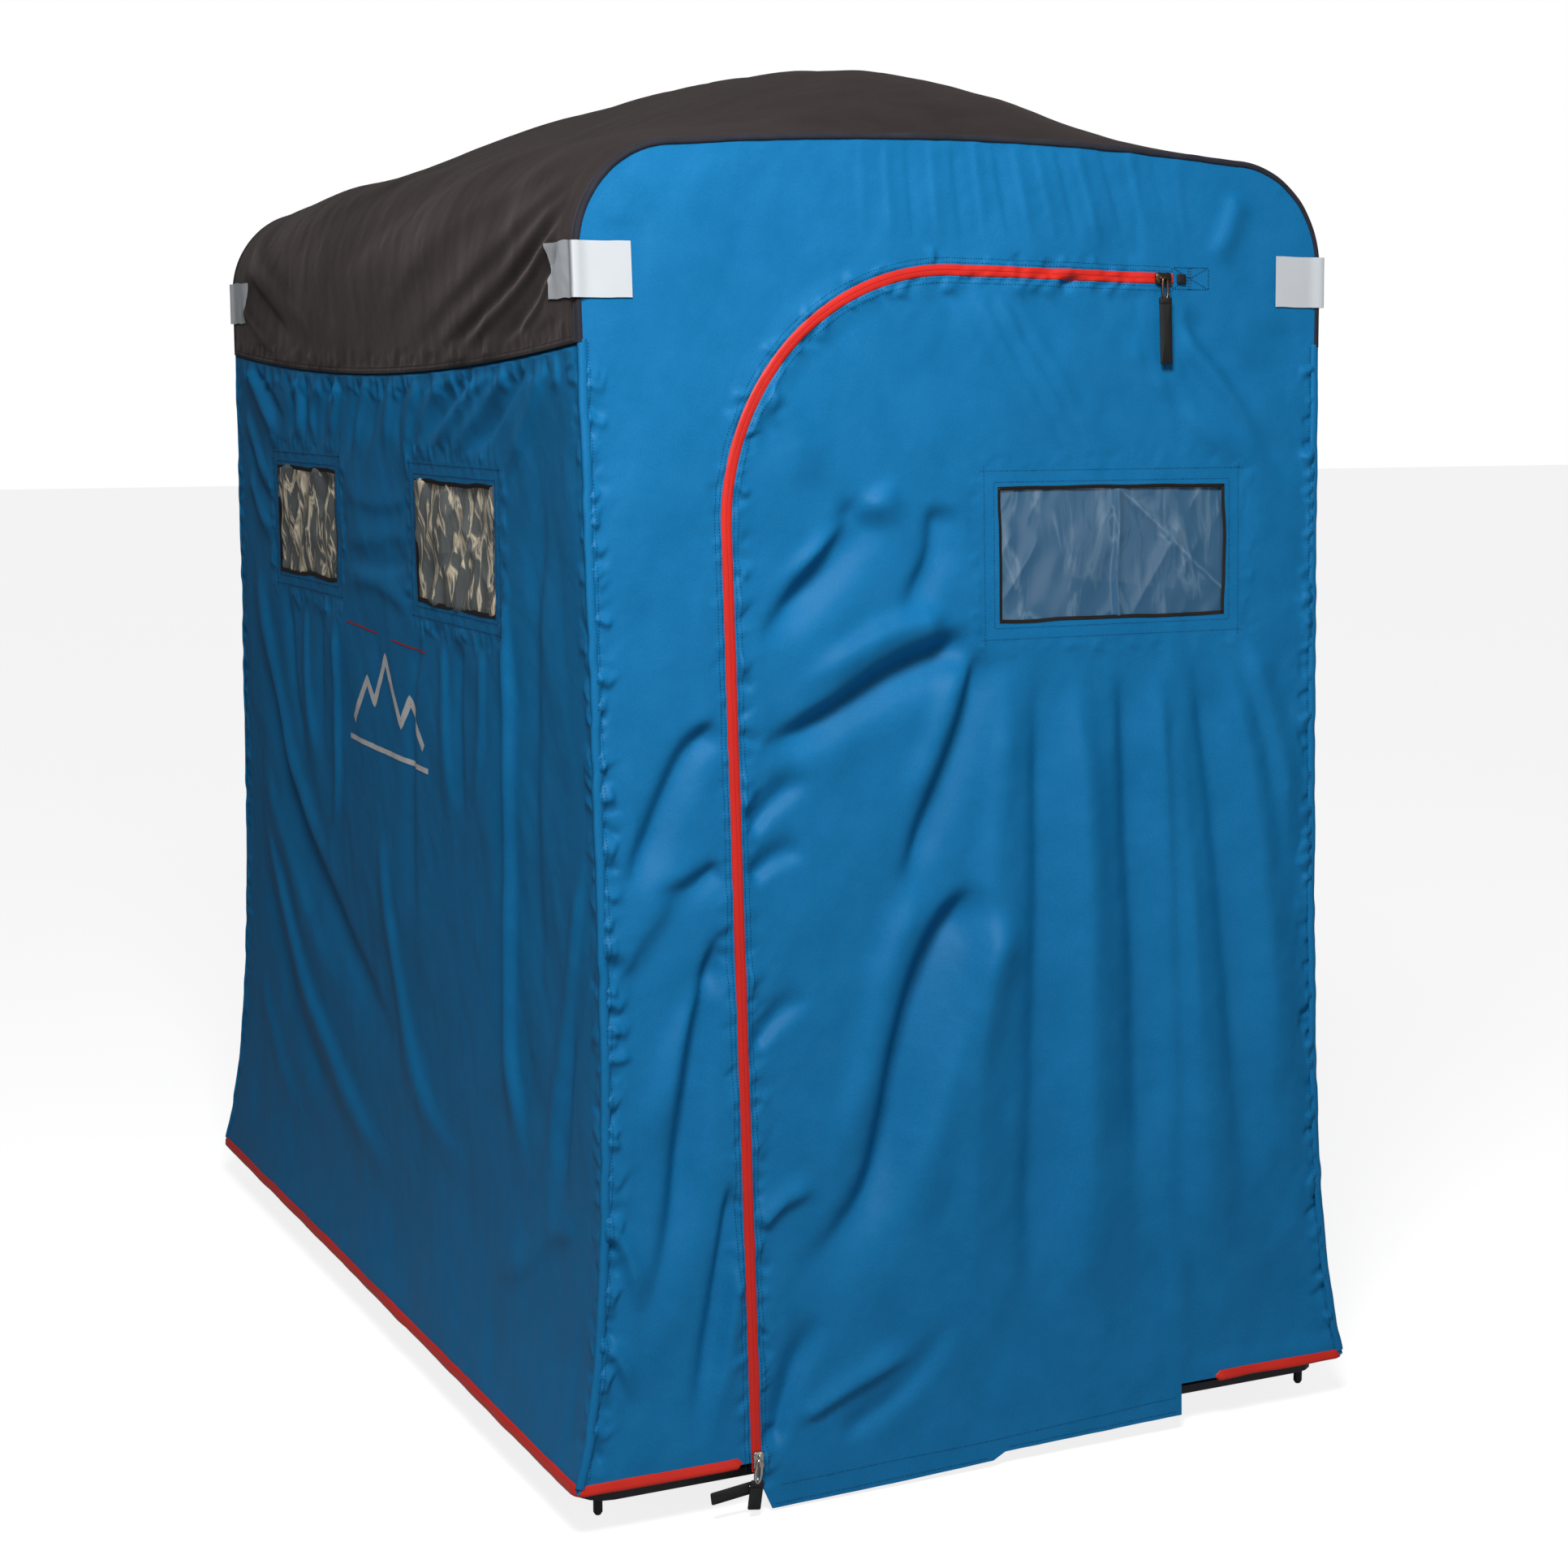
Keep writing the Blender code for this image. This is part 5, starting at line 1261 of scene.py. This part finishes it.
def make_edges():
    """The dark binding over each end wall's arch, and the blue roll down each upright corner."""
    meet = np.array([(half_width(SEAM_CORNER), SEAM_CORNER)])
    heights = np.linspace(TRIM_TOP - 0.001, SEAM_CORNER + 0.003, 80)
    corner = np.c_[half_width(heights), heights]
    arch = np.vstack([meet, FRONT_HALF[FRONT_HALF[:, 1] > SEAM_CORNER + 0.002]])
    arch = np.vstack([arch, (arch * (-1, 1))[::-1][1:]])
    for tag, end in (("front", -1), ("rear", 1)):
        band = edge_band(f"{tag}_arch_binding", arch, end, BINDING_PROFILE, BINDING, 0.0004, 5)
        settle(band, "frame")
        for hand, side in (("left", -1), ("right", 1)):
            line = corner * (side, 1)
            if side < 0:
                line = line[::-1]
            roll = edge_band(f"{tag}_{hand}_corner_seam", line, end, CORNER_PROFILE, BLUE, 0.0012, 6 + side)
            settle(roll, "base", SEAM_SPAN)
    for tag, surface in (("front", FRONT), ("rear", REAR)):
        lines = [corner * (side, 1) - (side * distance, 0) for distance in SEAM_ROWS for side in (-1, 1)]
        settle(mesh_piece(f"{tag}_corner_stitching", *stitches(surface, lines, 3), THREAD), "base", SEAM_SPAN)


make_edges()


def roof_side(side):
    """The roof cloth's upright part on one side, in (u, height), where u makes the normal point out."""
    def field(u, height):
        y = u * side
        return roof_field(y, height, side, np.maximum(half_length(height) - abs(y), 0))
    return Surface(place_right if side > 0 else place_left, field)


ROOF_SIDES = {side: roof_side(side) for side in (-1, 1)}


def make_roof_seam():
    """The roof cloth's turned lower edge and its two stitch rows."""
    for hand, side in (("left", -1), ("right", 1)):
        ys = np.linspace(-0.703, 0.703, 240)
        surface = ROOF_SIDES[side]
        line = np.c_[ys, seam_height(ys)]
        hem = ribbon(f"{hand}_roof_hem", surface, line, [-0.0006, -0.0010, 0.0004, 0.0060, 0.0072],
                     [-0.0012, 0.0002, 0.0009, 0.0009, 0.0002], BLACK_CLOTH)
        settle(hem, "frame")
        lines = [line + (0, up) for up in (0.0020, 0.0064)]
        thread = mesh_piece(f"{hand}_roof_stitching", *stitches(surface, lines, 9, lift=0.0010), THREAD_DARK)
        settle(thread, "frame")


make_roof_seam()


TRIM_ENDS = (-0.307, 0.316)      # where the trim stops, left and right of the doorway
TRIM_CORNER = 0.012
TRIM_TIP = 0.05                  # the end rings' size beside the others', so that the ends look closed


def trim_path():
    """The trim's outer line in plan, from the door's left side round the back to its right side."""
    reach_x, reach_y, corner = half_width(0.0), half_length(0.0), TRIM_CORNER
    path = [(TRIM_ENDS[0], -reach_y)]
    for sign_x, sign_y, start in ((-1, -1, 270), (-1, 1, 180), (1, 1, 90), (1, -1, 0)):
        for step in range(9):
            angle = math.radians(start - 90 * step / 8)
            path.append((sign_x * (reach_x - corner) + corner * math.cos(angle),
                         sign_y * (reach_y - corner) + corner * math.sin(angle)))
    path.append((TRIM_ENDS[1], -reach_y))
    return resample(path, 0.006)


# Cross-section: (outwards from the trim's line, height).
TRIM_PROFILE = [(-0.0050, 0.0118), (-0.0010, 0.0122), (0.0009, 0.0112), (0.0013, 0.0085), (0.0020, 0.0060),
                (0.0027, 0.0032), (0.0024, 0.0008), (0.0008, -0.0004), (-0.0050, -0.0004)]


def make_trim():
    """The soft red edging: a rounded band that wanders a little up, down and sideways."""
    path = trim_path()
    out = side_normals(path)
    count = len(path)
    along = travelled(path)
    rise = noise(along, along * 0, 0.070, 15) * 0.0011 + noise(along, along * 0, 0.018, 16) * 0.0003
    sway = noise(along, along * 0, 0.050, 17) * 0.0010
    rows = []
    middle = np.mean(TRIM_PROFILE, axis=0)
    for across, up in TRIM_PROFILE:
        shrink = np.ones(count)
        shrink[[0, -1]] = TRIM_TIP
        a = middle[0] + (across - middle[0]) * shrink + sway
        h = middle[1] + (up - middle[1]) * shrink + rise
        rows.append(np.c_[path + out * a[:, None], h + SKIRT_Z])
    points = np.stack(rows, 1).reshape(-1, 3)
    sides = len(TRIM_PROFILE)
    uv = np.c_[np.repeat(along, sides), np.tile(range(sides), count) * 0.002]
    piece = mesh_piece("trim_edging", points, strip_faces(count, sides), TRIM_RED, uv)
    settle(piece, "base", None, ["base_trim"])


make_trim()

PATCH_LOW, PATCH_TOP = 1.272, 1.330
PATCH_FRONT, PATCH_SIDE = 0.060, 0.078


def patch_point(side, end, s, height):
    """A patch's point: s runs from the side part (negative) round the corner to the end wall (positive)."""
    s, height = np.asarray(s, float), np.asarray(height, float)
    wall = FRONT if end < 0 else REAR
    u_wall = side * (half_width(height) - np.maximum(s, 0)) * (-end)
    y = end * (half_length(height) - np.maximum(-s, 0))
    on_wall = wall.at(u_wall, height, 0.0020)
    on_side = ROOF_SIDES[side].at(y * side, height, 0.0014)
    share = ramp((s + 0.004) / 0.008)[:, None]
    round_off = 0.0042 * np.exp(-(s / 0.007) ** 2)
    bulge = np.stack([side * round_off, end * round_off, 0 * s], 1)
    return on_wall * share + on_side * (1 - share) + bulge


def make_patch(end, side):
    """A reflective patch, wrapped round an upright corner; its part on the roof's side has a ragged end."""
    tag = f"{'front' if end < 0 else 'rear'}_{'left' if side < 0 else 'right'}"
    columns, rows = 72, 26
    s, t = np.meshgrid(np.linspace(-1, 1, columns), np.linspace(0, 1, rows))
    s, t = s.ravel(), t.ravel()
    ragged = 0.0026 * noise(t, t * 0, 0.20, 19 + side + 2 * end) * (s < 0) * abs(s)
    reach = np.where(s < 0, PATCH_SIDE + ragged, PATCH_FRONT)
    place = np.sign(s) * abs(s) ** 1.25 * reach
    slack = 0.0012 * noise(place, t, 0.030, 23 + side) * ramp(-place / 0.02)
    height = PATCH_LOW + (PATCH_TOP - PATCH_LOW) * t + slack + 0.0008 * noise(place, t * 0, 0.02, 29)
    points = patch_point(side, end, place, height)
    faces = strip_faces(rows, columns)
    if side * end < 0:
        faces = faces[:, ::-1]
    piece = mesh_piece(f"patch_{tag}", points, faces, PATCH, np.c_[place, height])
    settle(piece, "frame", None, [f"reflective_patch_{tag}"])


for end in (-1, 1):
    for side in (-1, 1):
        make_patch(end, side)


# ---------------------------------------------------------------- zip's end, sliders and pull tabs
def door_point(x, height, out):
    """A point in front of the front wall, out metres from its plain shape."""
    return np.array([x, -(half_length(height) + out), height + SKIRT_Z])


def rounded(width, height, radius, waist=0.0, steps=6):
    """A rounded rectangle about (0, 0), drawn in at its middle by waist."""
    points = []
    for sign_x, sign_z, start in ((1, 1, 0), (-1, 1, 90), (-1, -1, 180), (1, -1, 270)):
        for angle in np.radians(np.linspace(start, start + 90, steps)):
            points.append((sign_x * (width / 2 - radius) + radius * math.cos(angle),
                           sign_z * (height / 2 - radius) + radius * math.sin(angle)))
    points = resample(np.array(points + points[:1]), 0.0012)[:-1]
    pinch = 1 - waist * np.exp(-(points[:, 1] / (0.25 * height)) ** 2)
    return points * np.c_[pinch, np.ones(len(points))]


def plate(name, outline, place, outs, material, tilt=0.0, bevel=0.0006):
    """A flat bevelled plate by the door's face; outline is about place, outs its distances from the face."""
    x, height = place
    a = math.radians(tilt)
    turned = outline @ np.array([(math.cos(a), math.sin(a)), (-math.sin(a), math.cos(a))])
    size = np.abs(turned).max(0)
    near, far = outs
    rings = []
    for out, inset in ((near, bevel), (near + bevel, 0.0), (far - bevel, 0.0), (far, bevel)):
        ring = turned * (1 - inset / size)
        rings.append(np.array([door_point(x + dx, height + dz, out) for dx, dz in ring]))
    count = len(outline)
    closed = [np.vstack([ring, ring[:1]]) for ring in rings]
    faces = strip_faces(len(rings), count + 1)
    points = np.vstack(closed + [rings[0].mean(0)[None], rings[-1].mean(0)[None]])
    back, front = len(points) - 2, len(points) - 1
    last = (len(rings) - 1) * (count + 1)
    caps = [(back, k + 1, k) for k in range(count)] + [(front, last + k, last + k + 1) for k in range(count)]
    faces = np.vstack([faces[:, [0, 1, 2]], faces[:, [0, 2, 3]]])
    return mesh_piece(name, points, np.vstack([faces, caps]), material)


TAB_WIDTH = 0.0158
TAB_DROP = 0.021                 # from the slider's middle to the tab's upper end
FOLD_DROP = 0.0255               # and to the middle of the tab's folded-over end
SLIDER_WIDTH, SLIDER_LENGTH = 0.0135, 0.0205
BRIDGE_REACH, BRIDGE_FOOT, BRIDGE_RISE = 0.0075, 0.0064, 0.0040


def link_path(place, out, width, length, tilt):
    """An elongated ring that hangs from place."""
    a = math.radians(tilt)
    path = []
    for angle in np.linspace(0, 2 * math.pi, 41):
        dx = 0.5 * width * math.sin(angle)
        dz = -0.5 * length + 0.5 * length * np.sign(math.cos(angle)) * abs(math.cos(angle)) ** 0.6
        path.append(door_point(place[0] + dx * math.cos(a) - dz * math.sin(a),
                               place[1] + dx * math.sin(a) + dz * math.cos(a), out))
    return path


def make_pull(tag, place, upright, metal, tab_length, tilt):
    """A slider with its bridge, the link that hangs from it and a webbing tab."""
    x, height = place
    outline = rounded(SLIDER_WIDTH, SLIDER_LENGTH, 0.0045, 0.16)
    if not upright:
        outline = outline[:, ::-1] * (1, -1)
    body = f"{tag}_slider"
    slider = plate(f"{tag}_slider_body", outline, place, (0.0034, 0.0072), metal)
    settle(slider, body, ARCH_SPAN, [f"{tag}_slider"])
    arch = [door_point(x + (0 if upright else d), height + (d if upright else 0),
                       BRIDGE_FOOT + BRIDGE_RISE * math.sqrt(max(0.0, 1 - (d / BRIDGE_REACH) ** 2)))
            for d in np.linspace(-BRIDGE_REACH, BRIDGE_REACH, 15)]
    settle(tube_piece(f"{tag}_slider_bridge", arch, 0.0013, metal), body, ARCH_SPAN)
    swing = f"{tag}_tab"
    hanger = link_path((x, height + 0.001), 0.0092, 0.0070, 0.0250, tilt)
    link = tube_piece(f"{tag}_link", hanger, 0.0017, metal)
    settle(link, swing, ARCH_SPAN)
    a = math.radians(tilt)
    drop = TAB_DROP + tab_length / 2
    middle = (x + math.sin(a) * drop, height - math.cos(a) * drop)
    webbing = rounded(TAB_WIDTH, tab_length, 0.0018)
    tab = plate(f"{tag}_tab_webbing", webbing, middle, (0.0080, 0.0100), WEBBING, tilt)
    settle(tab, swing, ARCH_SPAN, [f"{tag}_pull_tab"])
    top = (x + math.sin(a) * FOLD_DROP, height - math.cos(a) * FOLD_DROP)
    turned = rounded(TAB_WIDTH + 0.0004, 0.0070, 0.0016)
    fold = plate(f"{tag}_tab_fold", turned, top, (0.0074, 0.0107), WEBBING, tilt)
    settle(fold, swing, ARCH_SPAN)


def make_zip_fittings():
    """Both pulls, the lower slider's second tab, and the stop and box of stitches at the zip's upper end."""
    make_pull("upper", (TAB_X, 1.3025), upright=False, metal=BRONZE, tab_length=0.076, tilt=1.0)
    make_pull("lower", (ZIP_FOOT_X, 0.008), upright=True, metal=ZINC, tab_length=0.033, tilt=-9.0)
    inner = plate("inner_tab_webbing", rounded(0.050, 0.0140, 0.0020), (-0.3235, -0.0235), (0.0050, 0.0068),
                  WEBBING, 6.0)
    settle(inner, "lower_slider", ARCH_SPAN, ["inner_pull_tab"])
    places = ((-0.302, -0.0195, 0.0058), (-0.295, -0.0150, 0.0058), (-0.291, -0.0080, 0.0052),
              (-0.290, -0.0020, 0.0046))
    neck = tube_piece("inner_tab_neck", [door_point(*at) for at in places], 0.0013, ZINC)
    settle(neck, "lower_slider", ARCH_SPAN)
    stop_place, cap_place = (FOLD_X + 0.0087, ZIP_END[1]), (FOLD_X - 0.0056, ZIP_END[1])
    stop = plate("zip_end_stop", rounded(0.0120, 0.0110, 0.0018), stop_place, (0.0012, 0.0034), WEBBING)
    settle(stop, "base", ARCH_SPAN)
    cap = plate("zip_end_cap", rounded(0.0078, 0.0110, 0.0012), cap_place, (0.0004, 0.0016), WEBBING)
    settle(cap, "door", ARCH_SPAN)
    box = rectangle(0.262, 0.312, 1.2905, 1.3150)
    lines = [np.array([box[k], box[(k + 1) % 4]]) for k in range(4)]
    lines += [np.array([box[0], box[2]]), np.array([box[1], box[3]])]
    lines += [np.array([(x, 1.2890), (x, 1.3165)]) for x in (0.285, 0.288)]
    sewn = mesh_piece("zip_end_stitching", *stitches(FRONT, lines, 41, 0.0008), THREAD_DARK)
    settle(sewn, "base", ARCH_SPAN)


make_zip_fittings()


# ---------------------------------------------------------------- printed mark on the left wall
def make_mark():
    """A generic printed mark: white peaks over a white ground line, under two thin red rules."""
    lift = np.full(5, 0.00045)
    peaks = np.array([(-0.150, 0.735), (-0.095, 0.790), (-0.060, 0.755), (0.000, 0.835), (0.048, 0.772),
                      (0.078, 0.800), (0.140, 0.740)]) * (-1, 1)
    rules = [np.array([(0.165, 0.855), (0.035, 0.861)]), np.array([(-0.035, 0.864), (-0.165, 0.870)])]
    across = np.linspace(-0.0065, 0.0065, 5)
    line = ribbon("mark_peaks", LEFT, peaks, across, lift, MARK_WHITE, 0.004)
    settle(line, "base", SEAM_SPAN)
    ground = np.array([(0.165, 0.708), (-0.165, 0.716)])
    base = ribbon("mark_ground", LEFT, ground, across * 0.55, lift, MARK_WHITE, 0.004)
    settle(base, "base", SEAM_SPAN)
    for k, rule in enumerate(rules):
        piece = ribbon(f"mark_rule_{k}", LEFT, rule, across * 0.16, lift, MARK_RED, 0.004)
        settle(piece, "base", SEAM_SPAN)


def make_flap_stitching():
    """The stitch rows of the door's hem, whose two steps the rows follow."""
    lines = [np.array([(-0.262, -0.026), (0.010, -0.022), (0.262, -0.012)]),
             np.array([(-0.268, -0.047), (0.006, -0.042)]), np.array([(0.030, -0.033), (0.262, -0.029)])]
    settle(mesh_piece("door_hem_stitching", *stitches(FRONT, lines, 31), THREAD), "door", ARCH_SPAN)


make_flap_stitching()
make_mark()


# ---------------------------------------------------------------- CAD pieces that keep their shape
CAD_LOOKS = {"base_front_shell": BASE_PLASTIC, "base_rear_shell": BASE_PLASTIC,
             "front_hole_cover": BASE_PLASTIC, "rear_hole_cover": BASE_PLASTIC,
             "base_hinge_pin": STEEL, "front_hoop": STEEL, "rear_hoop": STEEL, "lower_leg": STEEL,
             "ridge_pole": POLE, "stake_loop": WEBBING, "loop_patch": WEBBING}


def finish_cad():
    """Give each CAD node the look of the entry that its name starts with, or that of a dark fitting."""
    for name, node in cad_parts.items():
        looks = [look for start, look in CAD_LOOKS.items() if name.startswith(start)]
        node.data.materials.clear()
        node.data.materials.append(looks[0] if looks else DARK_FITTING)


finish_cad()


# ---------------------------------------------------------------- floor, light and camera
AMBIENT = 0.12
FLOOR_GLOW = 0.84                # what the floor adds to its own brightness in the camera's sight only
KEY_PLACE = (-1.10, -2.30, 2.70)
KEY_TARGET = (-0.30, -0.70, 1.35)
KEY_POWER = 78
GLOSS_PLACE = (1.9, -5.2, 1.2)
GLOSS_TARGET = (0.0, -0.75, 0.9)
GLOSS_POWER = 14


def make_stage():
    """The pale floor and the white surroundings, both brighter to the camera than to the cloth."""
    bpy.ops.mesh.primitive_plane_add(size=60, location=(0, 0, 0))
    floor = bpy.context.object
    floor.name = "floor"
    material, tree, shader = new_material("floor_white")
    place = add_node(tree, "ShaderNodeTexCoord")
    mottle = add_node(tree, "ShaderNodeTexNoise", {"Vector": (place, "Object")}, Scale=0.8, Detail=2.0)
    shade = ramp_node(tree, mottle, "Fac", ((0.3, (0.43, 0.43, 0.435)), (0.7, (0.45, 0.45, 0.455))))
    tree.links.new(shade.outputs["Color"], shader.inputs["Base Color"])
    shader.inputs["Roughness"].default_value = 0.85
    shader.inputs["Specular IOR Level"].default_value = 0.1
    shader.inputs["Emission Color"].default_value = (1.0, 1.0, 1.0, 1.0)
    seen = add_node(tree, "ShaderNodeLightPath")
    glow = add_node(tree, "ShaderNodeMapRange", {"Value": (seen, "Is Camera Ray")})
    glow.inputs["To Min"].default_value = 0.0
    glow.inputs["To Max"].default_value = FLOOR_GLOW
    tree.links.new(glow.outputs["Result"], shader.inputs["Emission Strength"])
    floor.data.materials.append(material)

    world = bpy.data.worlds.new("studio")
    world.use_nodes = True
    background = world.node_tree.nodes["Background"]
    background.inputs["Color"].default_value = (1.0, 1.0, 1.0, 1)
    path = world.node_tree.nodes.new("ShaderNodeLightPath")
    strength = world.node_tree.nodes.new("ShaderNodeMapRange")
    strength.inputs["To Min"].default_value = AMBIENT
    strength.inputs["To Max"].default_value = 1.0
    world.node_tree.links.new(path.outputs["Is Camera Ray"], strength.inputs["Value"])
    world.node_tree.links.new(strength.outputs["Result"], background.inputs["Strength"])
    bpy.context.scene.world = world


def add_area(name, place, target, size, power):
    """A soft box that faces a target."""
    data = bpy.data.lights.new(name, "AREA")
    data.shape = "RECTANGLE"
    data.size, data.size_y = size
    data.energy = power
    light = bpy.data.objects.new(name, data)
    light.location = place
    light.rotation_euler = (Vector(target) - Vector(place)).to_track_quat("-Z", "Y").to_euler()
    bpy.context.scene.collection.objects.link(light)


def make_light():
    """A key light up on the left, near the front wall, and a weak one whose gloss runs along the folds."""
    add_area("key", KEY_PLACE, KEY_TARGET, (0.8, 0.8), KEY_POWER)
    add_area("gloss", GLOSS_PLACE, GLOSS_TARGET, (1.2, 2.4), GLOSS_POWER)


CAMERA_PLACE = (-1.495, -3.377, 1.183 + SKIRT_Z)
CAMERA_PITCH = 8.336
CAMERA_YAW = 25.377
CAMERA_LENS = 62.643


def make_camera():
    """A long lens low on the front left, looking a little down."""
    data = bpy.data.cameras.new("camera")
    data.lens = CAMERA_LENS
    data.sensor_width = 36
    camera = bpy.data.objects.new("camera", data)
    camera.location = CAMERA_PLACE
    camera.rotation_euler = (math.radians(90 - CAMERA_PITCH), 0, math.radians(-CAMERA_YAW))
    bpy.context.scene.collection.objects.link(camera)
    bpy.context.scene.camera = camera
    bpy.context.scene.view_settings.view_transform = "Standard"


make_stage()
make_light()
make_camera()
